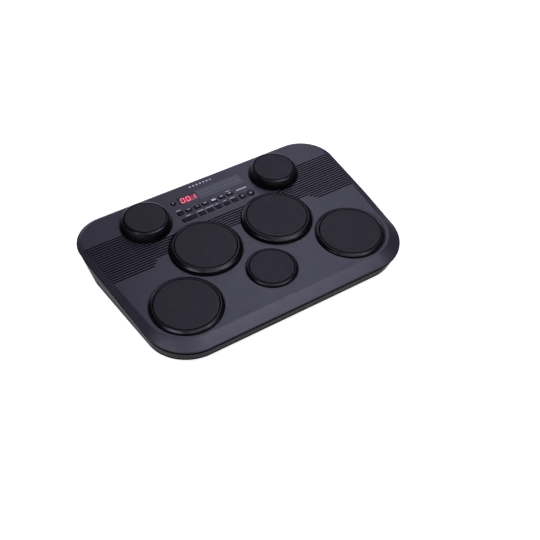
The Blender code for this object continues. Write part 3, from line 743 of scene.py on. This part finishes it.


def make_top_shell():
    """Panel, bevelled border and lip, hollow underneath."""
    crease, lip = crease_ring(0.0, 0.0), lip_ring(0.0, 0.0)
    lip_foot = lip_ring(0.0, LIP_HEIGHT)
    rings = [crease_ring(0.0012, 0.0)]
    rings += soft_edge(crease_ring(0.0008, 0.0), crease, between(crease, lip, 0.04))  # panel to border
    rings += soft_edge(between(crease, lip, 0.93), lip, between(lip, lip_foot, 0.40))  # border to lip
    rings += [between(lip, lip_foot, 0.85), lip_ring(0.0003, LIP_HEIGHT)]
    rings += [lip_ring(LIP_WALL, LIP_HEIGHT), lip_ring(LIP_WALL, 0.0006), crease_ring(0.0020, -WALL)]
    cuts = [(post_cutter(POST_RADIUS, 0.0, POST_LENGTH + WALL / 2), "UNION")]
    cuts += [(tool, "DIFFERENCE") for tool in (rib_cutter(), slot_cutter(), pad_cutter(), opening_cutter())]
    shell = loft(bmesh.new(), rings)
    shell.normal_update()
    # Painted shade: the lip's steep outer faces take the near-black second material.
    for face in shell.faces:
        if abs(face.normal.z) < SHADED_LIP_EDGE_SLOPE:
            face.material_index = 1
    mesh = carve(shell, cuts, slots=2)
    piece("top_shell_fine", mesh, [CASE_TOP, PAINTED_SHADE_PLASTIC], "case", ["top_shell"])


# -------- bottom shell, tray and door
def bay_ring(grow, z, extra_front=0.0, corner=0.0020):
    """A ring round the battery bay, in world axes, with its height from the case underside."""
    x, y = BAY_CENTRE
    return rounded_rectangle(x, y - extra_front / 2, BAY_SIZE[0] / 2 + grow,
                             BAY_SIZE[1] / 2 + grow + extra_front / 2, corner, CASE_FLOOR_Z + z)


def bay_block(grow, z_low, z_high, extra_front=0.0, corner=0.0020):
    return loft(bmesh.new(), [bay_ring(grow, z, extra_front, corner) for z in (z_low, z_high)])


def socket_cutter():
    """Holes through the rear wall, in world axes."""
    bm = bmesh.new()
    for name, x in SOCKETS_X.items():
        if name == "usb_port":
            half_x, half_z = [half + USB_CLEARANCE for half in USB_HALF]
            ring = rounded_rectangle(x, SOCKET_Z, half_x, half_z, 0.0006, 0.0)
            loft(bm, [[(px, REAR_WALL_Y + y, pz) for px, pz, _ in ring] for y in (-0.006, 0.004)])
            continue
        radius = (INLET_BUSH if name == "dc_inlet" else JACK_BUSH) + GAP
        hole = turned([(0.0, -0.006), (radius, -0.006), (radius, 0.006), (0.0, 0.006)], steps=48)
        hole.transform(facing_back(x))
        part = bpy.data.meshes.new("hole")
        hole.to_mesh(part)
        hole.free()
        bm.from_mesh(part)
        bpy.data.meshes.remove(part)
    return bm


def facing_back(x):
    """Turns a piece drawn about +Z to look out of the rear wall at x."""
    return Matrix.Translation((x, REAR_WALL_Y, SOCKET_Z)) @ Matrix.Rotation(-math.pi / 2, 4, "X")


def upright(radius, z_low, z_high):
    """Cylinders on the screw spots, in world axes."""
    tool = post_cutter(radius, z_low, z_high)
    tool.transform(PANEL)
    return tool


def bottom_cuts():
    """What is added to the tub and cut from it: bay frame, bosses, bores, bay, recess and sockets."""
    below = -0.1  # anywhere under the case
    under, over = -ABOVE, FRAME_DEPTH + ABOVE
    door_reach = (DOOR_SIZE[0] - BAY_SIZE[0]) / 2 + GAP
    frame_block = bay_block(FRAME_REACH - DOOR_TRAVEL / 2, WALL / 2, FRAME_DEPTH, DOOR_TRAVEL)
    return [(frame_block, "UNION"),
            (upright(BOSS_RADIUS, None, -GAP), "UNION"),
            (upright(HEAD_BORE, below, -BOSS_HEAD), "DIFFERENCE"),
            (upright(SHANK_BORE, below, ABOVE), "DIFFERENCE"),
            (bay_block(TRAY_WALL + GAP, under, over), "DIFFERENCE"),
            (bay_block(door_reach, under, DOOR_RECESS, DOOR_TRAVEL), "DIFFERENCE"),
            (socket_cutter(), "DIFFERENCE")]


UNSHADED_WALL_SPAN = (0.16, 0.86)  # the part of the wall left in its own colour, between painted shade on its top edge under the lip and on its bottom edge
FOOT_STEPS = 6  # of the round from the wall to the floor


def make_bottom_shell():
    """The tub under the top shell, with a tongue inside the lip and a rounded foot, and painted shade on
    its top band under the lip and round its foot.
    """
    bottom_inset = TUB_TOP_INSET + TUB_DRAFT
    top_below = LIP_HEIGHT + SEAM
    rings = [lip_ring(RIM_WALL, TONGUE_BELOW), lip_ring(TONGUE_INSET, TONGUE_BELOW),
             lip_ring(TONGUE_INSET, top_below)]
    wall_foot = floor_ring(bottom_inset, TUB_BOTTOM_ROUND)
    edge = lip_ring(TUB_TOP_INSET, top_below)
    edge_start = lip_ring(TUB_TOP_INSET + 0.0006, top_below)
    rings += soft_edge(edge_start, edge, between(edge, wall_foot, 0.015))
    rings += [between(edge, wall_foot, share) for share in UNSHADED_WALL_SPAN]
    wall = len(rings) - 2  # the strip between the two rings of the span
    for k in range(FOOT_STEPS + 1):
        angle = math.pi / 2 * k / FOOT_STEPS
        rings.append(floor_ring(bottom_inset + TUB_BOTTOM_ROUND * (1 - math.cos(angle)),
                                TUB_BOTTOM_ROUND * (1 - math.sin(angle))))
    rings.append(floor_ring(bottom_inset + TUB_BOTTOM_ROUND + 0.0003, 0.0))
    floor_cap = len(rings) - 1
    rings += [floor_ring(bottom_inset + TUB_BOTTOM_ROUND, WALL), lip_ring(RIM_WALL, top_below + WALL)]

    bm = bmesh.new()
    rows = [[bm.verts.new(point) for point in ring] for ring in rings]
    for index, (upper, lower) in enumerate(zip(rows, rows[1:] + rows[:1])):
        if index == floor_cap:
            continue
        # Painted shade: every outer band but the plain wall strip takes the near-black second material.
        for face in bridge(bm, upper, lower):
            face.material_index = int(index < floor_cap and index != wall)
    bm.faces.new(list(reversed(rows[floor_cap])))
    bm.faces.new(rows[floor_cap + 1])
    bm.transform(PANEL)
    mesh = carve(bm, bottom_cuts(), slots=2)
    piece("bottom_shell_fine", mesh, [CASE_BOTTOM, PAINTED_SHADE_PLASTIC], "case", ["bottom_shell"], place=None)


def make_battery_tray():
    """A tray, open downwards, with a flange round it and a rounded top."""
    reach, thickness = TRAY_FLANGE
    flange_z = FRAME_DEPTH + GAP
    top = BAY_DEPTH + TRAY_WALL
    rings = [bay_ring(TRAY_WALL, DOOR_RECESS + GAP), bay_ring(TRAY_WALL, flange_z),
             bay_ring(TRAY_WALL + reach, flange_z), bay_ring(TRAY_WALL + reach, flange_z + thickness),
             bay_ring(TRAY_WALL, flange_z + thickness)]
    rings += soft_edge(bay_ring(TRAY_WALL, top - 0.002), bay_ring(TRAY_WALL, top),
                       bay_ring(TRAY_WALL - 0.002, top, corner=0.001))
    space = bay_block(0.0, 0.0, BAY_DEPTH, corner=0.001)
    mesh = carve(loft(bmesh.new(), rings), [(space, "DIFFERENCE")])
    piece("battery_tray_fine", mesh, [CASE_BOTTOM], "case", ["battery_tray"], place=None)


def make_battery_door():
    """A sliding door with a ribbed thumb grip and an arrow moulded into it."""
    x, y = BAY_CENTRE
    half_x, half_y, thickness = DOOR_SIZE[0] / 2, DOOR_SIZE[1] / 2, DOOR_SIZE[2]
    bm = soft_block(x, y, half_x, half_y, 0.0020, 0.0, thickness, 0.0005)
    marks = bmesh.new()
    deep, high = thickness - 0.0006, thickness + ABOVE
    grip_y, grip_pitch = y + half_y - 0.0120, 0.0024
    for i in range(7):
        ring = rounded_rectangle(x, grip_y - i * grip_pitch, 0.0150, 0.0006, 0.0005, 0.0, 4)
        loft(marks, raised(ring, (deep, high)))
    tip, arrow = grip_y - 0.0230, 0.0050
    prism(marks, [(x - arrow, tip + arrow), (x, tip), (x + arrow, tip + arrow)], deep, high)
    mesh = carve(bm, [(marks, "DIFFERENCE")])
    upside_down = Matrix.Scale(-1, 4, (0, 0, 1))
    mesh.transform(Matrix.Translation((0.0, 0.0, CASE_FLOOR_Z + thickness)) @ upside_down)
    mesh.flip_normals()
    piece("battery_door_fine", mesh, [CASE_BOTTOM], "battery_door", ["battery_door"], place=None)


def make_feet():
    """Rubber feet with a hollow in each one's face."""
    for name in ("front_left", "front_right", "rear_left", "rear_right"):
        node = "foot_" + name
        low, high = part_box(node)
        radius, height = (high.x - low.x) / 2, high.z - low.z
        profile = softened([(0.0, height), (radius, height), (radius, 0.0), (radius - 0.0035, 0.0),
                            (radius - 0.0040, 0.0006), (0.0, 0.0006)],
                           [0.0, 0.0003, 0.0010, 0.0003, 0.0002, 0.0])
        centre = ((low.x + high.x) / 2, (low.y + high.y) / 2)
        piece(node + "_fine", turned(profile, centre, steps=64), [FOOT_RUBBER], "case", [node], place=None)


def make_screws():
    """Pan-head screws with a cross recess, seen up their wells."""
    for index, spot in enumerate(SCREWS):
        foot = post_foot(spot)
        seat = foot.z - BOSS_HEAD - GAP
        tip = foot.z + POST_LENGTH - 0.0020
        face = seat - 0.0025
        shank, head = 0.0015, 0.0034
        profile = [(0.0, tip), (shank - 0.0003, tip - 0.0005), (shank, tip - 0.0020), (shank, seat),
                   *softened([(head, seat), (head, face), (0.0, face)], [0.0, 0.0012, 0.0])]
        arm, half = 0.0020, 0.00045  # reach and half width of the cross
        quarter = [(arm, half), (half, half), (half, arm)]
        corners = []
        for _ in range(4):
            corners += [(foot.x + x, foot.y + y) for x, y in quarter]
            quarter = [(-y, x) for x, y in quarter]
        cross = prism(bmesh.new(), corners, face - ABOVE, face + 0.0014)
        mesh = carve(turned(profile, foot.xy, steps=48), [(cross, "DIFFERENCE")])
        node = "case_screw_%d" % (index + 1)
        piece(node + "_fine", mesh, [STEEL], "case", [node], place=None)


# -------- pads
def rim_profile(pad):
    """Sloping top, outer skirt, groove wall, sensor ledge and spigot, as (radius, z)."""
    _, _, base, lip, groove, head_z = pad
    bore = groove + GROOVE_HALF
    crest = head_z - CREST_BELOW_HEAD
    ledge_z = head_z - LEDGE_DEPTH
    spigot, ledge = spigot_radius(groove, head_z), groove - LEDGE_WIDTH
    foot = -RECESS + 0.0001
    slope = (lip - bore) * RIM_SLOPE_SHARE
    points = [(bore, crest - 0.0010), (bore, crest), (lip - slope, crest),
              (lip, crest - slope * RIM_SLOPE_FALL), (base, foot)]
    setbacks = [0.0, 0.0006, slope * 0.20, slope * 0.20, 0.0]
    under = [(spigot, foot), (spigot, RIM_BOTTOM), (ledge, RIM_BOTTOM), (ledge, ledge_z), (bore, ledge_z)]
    if is_tall(head_z):
        web_z = ledge_z - 0.0020
        under[:1] = [(base - 0.0028, foot), (lip - 0.0010, web_z), (spigot, web_z)]
    return softened(points + under, setbacks + [0.0] * len(under), closed=True)


def make_rim(name, pad):
    """A rim whose inner wall, which faces the groove, is painted shade-dark."""
    node = "rim_" + name
    x, y, _, _, groove, _ = pad
    bm = turned(rim_profile(pad), (x, y), closed=True)
    bore = groove + GROOVE_HALF + 0.0001
    # Painted shade: the faces inside the bore take the near-black second material.
    for face in bm.faces:
        inside = (face.calc_center_median().xy - Vector((x, y))).length < bore
        face.material_index = int(inside)
    piece(node + "_fine", bm, [RIM_PLASTIC, PAINTED_SHADE_PLASTIC], "case", [node])


def make_head(name, pad):
    """A rubber disc, very slightly crowned, with a rounded edge."""
    x, y, _, _, groove, head_z = pad
    radius, bottom = groove - GROOVE_HALF, head_z - HEAD_THICKNESS
    top = [(radius * i / 8, head_z - HEAD_CROWN * (i / 8) ** 2) for i in range(8)]
    profile = softened([*top, (radius, head_z - HEAD_CROWN), (radius, bottom), (0.0, bottom)],
                       [0.0] * len(top) + [0.0013, 0.0003, 0.0])
    node = "head_" + name
    piece(node + "_fine", turned(profile, (x, y)), [HEAD_RUBBER], node, [node])


# -------- keys and their marks
MARK_SINK, MARK_RISE = 0.00005, 0.00005  # ink reaches this far into and out of its surface


def ink(bm, points, z, material):
    """A thin printed shape on a surface at z."""
    return prism(bm, points, z - MARK_SINK, z + MARK_RISE, material)


def bar(x, y, half_x, half_y):
    return [(x + sx * half_x, y + sy * half_y) for sx, sy in ((1, 1), (-1, 1), (-1, -1), (1, -1))]


def disc(x, y, radius):
    steps = 20
    turns = [2 * math.pi * i / steps for i in range(steps)]
    return [(x + radius * math.cos(turn), y + radius * math.sin(turn)) for turn in turns]


def triangle(x, y, size):
    """Points to +x, as a play mark does."""
    return [(x + size, y), (x - size * 0.7, y + size * 0.9), (x - size * 0.7, y - size * 0.9)]


SHORT_WORD = (bar, 0.0, 0.0018, 0.0036, 0.0009)
KEY_MARKS = {  # an outline, its x and y from the key's middle, and its sizes
    "key_upper_2": (bar, 0.0, 0.0022, 0.0035, 0.0007),
    "key_upper_3": (triangle, 0.0010, 0.0012, 0.0018),
    "key_upper_4": SHORT_WORD,
    "key_upper_5": (bar, 0.0, 0.0006, 0.0052, 0.0026),
    "key_upper_6": SHORT_WORD,
    "key_upper_7": SHORT_WORD,
    "key_square": (bar, 0.0, 0.0006, 0.0026, 0.0007),
    "key_round": (disc, 0.0, 0.0, 0.0020),
    # painted highlight: this small offset white disc stands for the glint on the power key's dome
    "key_power": (disc, 0.0, 0.0008, 0.0012),
}


def mark_key(bm, name, x, y, z):
    """Prints the key's mark on its top, where it has one; the power key's disc is a painted highlight on
    its dome.
    """
    if name in KEY_MARKS:
        shape, dx, dy, *sizes = KEY_MARKS[name]
        ink(bm, shape(x + dx, y + dy, *sizes), z, 1)


def make_key(name, cell):
    """A key cap with a flange below, rounded edges and its mark in ink."""
    x, y, width, depth = cell
    half_x, half_y, flange_z = width / 2, depth / 2, KEY_BOTTOM + KEY_FLANGE
    flange = [rounded_rectangle(x, y, half_x + KEY_FLANGE_REACH, half_y + KEY_FLANGE_REACH, KEY_CORNER, z)
              for z in (KEY_BOTTOM, flange_z)]
    bm = soft_block(x, y, half_x, half_y, KEY_CORNER, flange_z, KEY_TOP, KEY_EDGE, foot=flange)
    mark_key(bm, name, x, y, KEY_TOP)
    piece(name + "_fine", bm, [KEY_PLASTIC, WHITE_INK_AND_KEY_HIGHLIGHT], name, [name])


def make_round_key(name, cell):
    """A round key cap, dished on top, with a flange below."""
    x, y, radius = cell
    flange_z, flange = KEY_BOTTOM + KEY_FLANGE, radius + KEY_FLANGE_REACH
    dish_z = KEY_TOP - KEY_DISH
    profile = softened([(0.0, dish_z), (radius * 0.75, dish_z), (radius * 0.85, KEY_TOP),
                        (radius, KEY_TOP), (radius, flange_z), (flange, flange_z), (flange, KEY_BOTTOM),
                        (0.0, KEY_BOTTOM)],
                       [0.0, 0.0004, 0.0003, KEY_EDGE, 0.0, 0.0, 0.0, 0.0])
    bm = turned(profile, (x, y), steps=64)
    mark_key(bm, name, x, y, dish_z)
    piece(name + "_fine", bm, [KEY_PLASTIC, WHITE_INK_AND_KEY_HIGHLIGHT], name, [name])


# -------- display and printed legends
DIGIT_PITCH = 0.0128
DIGIT_HALF = (0.0036, 0.0066)  # half width and height of a digit, between segment middles
SEGMENT_HALF = 0.0011  # half a segment's width
SEGMENT_GAP = 0.0004  # at each end of a segment
DIGIT_SLANT = 0.14
DIGITS = ("abcdef", "abcdef", "bc")  # lit segments of 0, 0 and 1
WINDOW_TOP, WINDOW_BOTTOM = -0.0002, -0.0020


def segment_outline(start, end):
    """A hexagonal bar between two points."""
    start, end = Vector(start), Vector(end)
    along = (end - start).normalized()
    across = Vector((-along.y, along.x)) * SEGMENT_HALF
    start, end = start + along * SEGMENT_GAP, end - along * SEGMENT_GAP
    near, far = start + along * SEGMENT_HALF, end - along * SEGMENT_HALF
    return [start, near - across, far - across, end, far + across, near + across]


def digit_shapes(x, y, lit):
    """Outlines of a digit's lit segments, lettered clockwise from the top."""
    w, h = DIGIT_HALF
    ends = {"a": ((-w, h), (w, h)), "b": ((w, h), (w, 0)), "c": ((w, 0), (w, -h)), "d": ((-w, -h), (w, -h)),
            "e": ((-w, 0), (-w, -h)), "f": ((-w, h), (-w, 0))}
    shapes = []
    for letter in lit:
        points = segment_outline(*ends[letter])
        shapes.append([(x + p.x + p.y * DIGIT_SLANT, y + p.y) for p in points])
    return shapes


def make_display():
    """The window, with the lit digits lying in its top face."""
    x, y, width, depth = DISPLAY
    half_x, half_y = width / 2 - GAP, depth / 2 - GAP
    bm = soft_block(x, y, half_x, half_y, DISPLAY_CORNER, WINDOW_BOTTOM, WINDOW_TOP, 0.0002)
    for index, lit in enumerate(DIGITS):
        for shape in digit_shapes(x + DIGITS_SHIFT + (index - 1) * DIGIT_PITCH, y, lit):
            ink(bm, shape, WINDOW_TOP, 1)
    piece("display_window_fine", bm, [WINDOW, SEGMENT], "case", ["display_window"])


UNIT = 0.0730  # the large front pads' radius, in which the legends' places are counted
PLATE_Z = 0.00003  # half the step from the plate up to the grey ink on it
LOWER_DASHES = ((-1.0, -0.85), (-0.65, -0.43), (-0.38, -0.10), (-0.05, 0.05), (0.22, 0.32),
                (0.45, 0.60))  # where each starts and ends


def make_legends():
    """Generic ink on the panel: level dots, a plate with two rows of marks and dashes by the keys."""
    bm = bmesh.new()
    white, grey, plate = 0, 1, 2
    for i in range(7):
        ink(bm, disc((-0.305 + i * 0.113) * UNIT, 3.95 * UNIT, 0.0021), 0.0, white)
    ink(bm, bar(0.455 * UNIT, 3.54 * UNIT, 0.725 * UNIT, 0.20 * UNIT), -PLATE_Z, plate)
    for i in range(15):
        x = (-0.20 + i * 0.0935) * UNIT
        ink(bm, bar(x, 3.50 * UNIT, 0.0018, 0.0004), PLATE_Z, grey)
        ink(bm, bar(x, 3.62 * UNIT, 0.0012, 0.0004), PLATE_Z, grey)
    ink(bm, bar(0.95 * UNIT, 3.13 * UNIT, 0.17 * UNIT, 0.0013), 0.0, white)
    for start, end in LOWER_DASHES:
        middle, half = (start + end) / 2, (end - start) / 2
        ink(bm, bar(middle * UNIT, 2.93 * UNIT, half * UNIT, 0.0007), 0.0, white)
    for i in (0, 6):
        x = KEY_FIRST_X + i * KEY_PITCH
        ink(bm, bar(x, 3.24 * UNIT, 0.0052, 0.0007), 0.0, white)
    piece("panel_legends", bm, [WHITE_INK_AND_KEY_HIGHLIGHT, GREY_INK, PLATE_INK], "case")


# -------- rear sockets
FACE = 0.0006  # the back of a collar, just off the rear wall
NECK = -0.0042  # where a barrel starts, behind the wall


def socket_profile(bore, depth, out, collar, bush, barrel, length, rounds):
    """A bore, a collar outside the wall, a bush through it and a barrel behind, as (radius, z)."""
    points = [(0.0, -depth), (bore, -depth), (bore, out), (collar, out), (collar, FACE), (bush, FACE),
              (bush, NECK), (barrel, NECK), (barrel, -length), (0.0, -length)]
    return softened(points, [0.0, 0.0, *rounds] + [0.0] * 5)


def make_jack(name, x):
    """A jack socket with a rounded collar and a metal sleeve inside."""
    profile = socket_profile(bore=0.0033, depth=0.0240, out=FACE + 0.0018, collar=0.0066, bush=JACK_BUSH,
                             barrel=0.0072, length=0.0280, rounds=(0.0005, 0.0006, 0.0002))
    piece(name + "_fine", turned(profile, steps=64), [SOCKET_PLASTIC], "case", [name],
          place=facing_back(x))
    sleeve = [(0.00325, -0.0012), (0.0031, -0.0010), (0.0031, -0.0060), (0.00325, -0.0060)]
    piece(name + "_sleeve", turned(sleeve, closed=True, steps=64), [STEEL], "case", place=facing_back(x),
          slot="steel")


def make_dc_inlet(x):
    """A power inlet with a steel pin in its bore."""
    profile = socket_profile(bore=0.0032, depth=0.0100, out=FACE + 0.0012, collar=0.0052, bush=INLET_BUSH,
                             barrel=0.0060, length=0.0140, rounds=(0.0004, 0.0004, 0.0001))
    piece("dc_inlet_fine", turned(profile, steps=48), [SOCKET_PLASTIC], "case", ["dc_inlet"],
          place=facing_back(x))
    pin = softened([(0.0, -0.0010), (0.0010, -0.0010), (0.0010, -0.0099), (0.0, -0.0099)],
                   [0.0, 0.0005, 0.0, 0.0])
    piece("dc_inlet_pin", turned(pin, steps=24), [STEEL], "case", place=facing_back(x), slot="steel")


def make_usb_port(x):
    """A steel shell with a plastic tongue inside."""
    rings = [rounded_rectangle(0.0, 0.0, *USB_HALF, 0.0008, z) for z in (-0.0160, 0.0010)]
    hole = [rounded_rectangle(0.0, 0.0, 0.0044, 0.0040, 0.0006, z) for z in (-0.0100, 0.0020)]
    mesh = carve(loft(bmesh.new(), rings), [(loft(bmesh.new(), hole), "DIFFERENCE")])
    piece("usb_port_fine", mesh, [STEEL], "case", ["usb_port"], place=facing_back(x))
    tongue = soft_block(0.0, 0.0, 0.0027, 0.0016, 0.0004, -0.0099, -0.0008, 0.0003)
    piece("usb_port_tongue", tongue, [SOCKET_PLASTIC], "case", place=facing_back(x), slot="socket")


def make_sockets():
    for name in ("phones_socket", "hi_hat_socket", "kick_socket"):
        make_jack(name, SOCKETS_X[name])
    make_dc_inlet(SOCKETS_X["dc_inlet"])
    make_usb_port(SOCKETS_X["usb_port"])


# -------- inner parts keep their CAD shapes
def paint_inner_parts():
    """Gives the CAD nodes inside the case their node materials."""
    paints = {"sensor_": STEEL, "main_board": BOARD, "panel_board": BOARD,
              "display_module": MODULE_PLASTIC, "speaker_": CONE}
    for name, node in frame["nodes"].items():
        for start, paint in paints.items():
            if name.startswith(start):
                node.data.materials.clear()
                node.data.materials.append(paint)


# -------- stage
FLOOR_HALF = 30.0
FLOOR_GLOW = 0.85  # a light table, so that the object throws hardly any shadow


def make_floor():
    """A pale table top, wide enough to fill any view."""
    bm = bmesh.new()
    bmesh.ops.create_grid(bm, x_segments=1, y_segments=1, size=FLOOR_HALF)
    paint = Paint("floor_paper", (0.92, 0.92, 0.92), 0.90, Emission_Color=(1.0, 1.0, 1.0, 1.0))
    paint.shader.inputs["Emission Strength"].default_value = FLOOR_GLOW
    paint.material.cycles.emission_sampling = "NONE"
    paint.tint(paint.noise(3.0), 0.01)
    floor = added("floor", mesh_from("floor", bm))
    floor.data.materials.append(paint.material)


SOFTBOX_DISTANCE = 2.2
LAMP_COLOUR = (1.0, 0.97, 1.27)
WORLD_COLOUR, WORLD_STRENGTH = (1.0, 0.97, 1.20), 0.02
SOFTBOXES = {  # bearing clockwise from the back and height in degrees, watts, width and depth
    "key": (133.0, 61.0, 13.8, 1.0, 1.0),
    "front": (188.0, 62.0, 5.8, 1.0, 1.0),
    "back_high": (45.0, 67.0, 6.0, 1.1, 1.1),
    "back_right": (45.0, 45.0, 5.0, 1.1, 1.1),
    "back_low": (0.0, 20.0, 3.5, 1.1, 1.1),
    "left_strip": (251.0, 55.0, 8.8, 1.0, 0.30),
}


def softbox(name, bearing, height, power, width, depth):
    """A rectangular area light on a dome round the object, facing its middle."""
    bearing, height = math.radians(bearing), math.radians(height)
    away = Vector((math.sin(bearing) * math.cos(height), math.cos(bearing) * math.cos(height),
                   math.sin(height)))
    light = bpy.data.lights.new(name, "AREA")
    light.shape = "RECTANGLE"
    light.size, light.size_y = width, depth
    light.energy = power
    light.color = LAMP_COLOUR
    lamp = added(name, light)
    lamp.location = away * SOFTBOX_DISTANCE
    lamp.rotation_euler = away.to_track_quat("Z", "Y").to_euler()


def make_lights():
    scene = bpy.context.scene
    scene.world = bpy.data.worlds.new("studio")
    scene.world.use_nodes = True
    background = scene.world.node_tree.nodes["Background"]
    background.inputs["Color"].default_value = (*WORLD_COLOUR, 1.0)
    background.inputs["Strength"].default_value = WORLD_STRENGTH
    for name, settings in SOFTBOXES.items():
        softbox(name, *settings)
    scene.view_settings.view_transform = "Standard"


CAMERA_TARGET = PANEL @ Vector((-0.0066, -0.0031, 0.0))
CAMERA_BACK = Vector((-0.39245, -0.6061, 0.69184))  # from the target towards the camera
CAMERA_DISTANCE = 1.806
CAMERA_LENS, CAMERA_SENSOR = 61.3, 36.0  # millimetres


def make_camera():
    back = CAMERA_BACK.normalized()
    camera = bpy.data.cameras.new("camera")
    camera.lens = CAMERA_LENS
    camera.sensor_width = CAMERA_SENSOR
    rig = added("camera", camera)
    rig.location = CAMERA_TARGET + back * CAMERA_DISTANCE
    rig.rotation_euler = back.to_track_quat("Z", "Y").to_euler()
    bpy.context.scene.camera = rig


# -------- assembly
make_camera()
make_top_shell()
make_bottom_shell()
make_battery_tray()
make_battery_door()
make_feet()
make_screws()
for pad_name, pad in PADS.items():
    make_rim(pad_name, pad)
    make_head(pad_name, pad)
for key_name, cell in key_cells().items():
    make_key(key_name, cell)
for key_name, cell in ROUND_KEYS.items():
    make_round_key(key_name, cell)
make_display()
make_legends()
make_sockets()
paint_inner_parts()
make_floor()
make_lights()
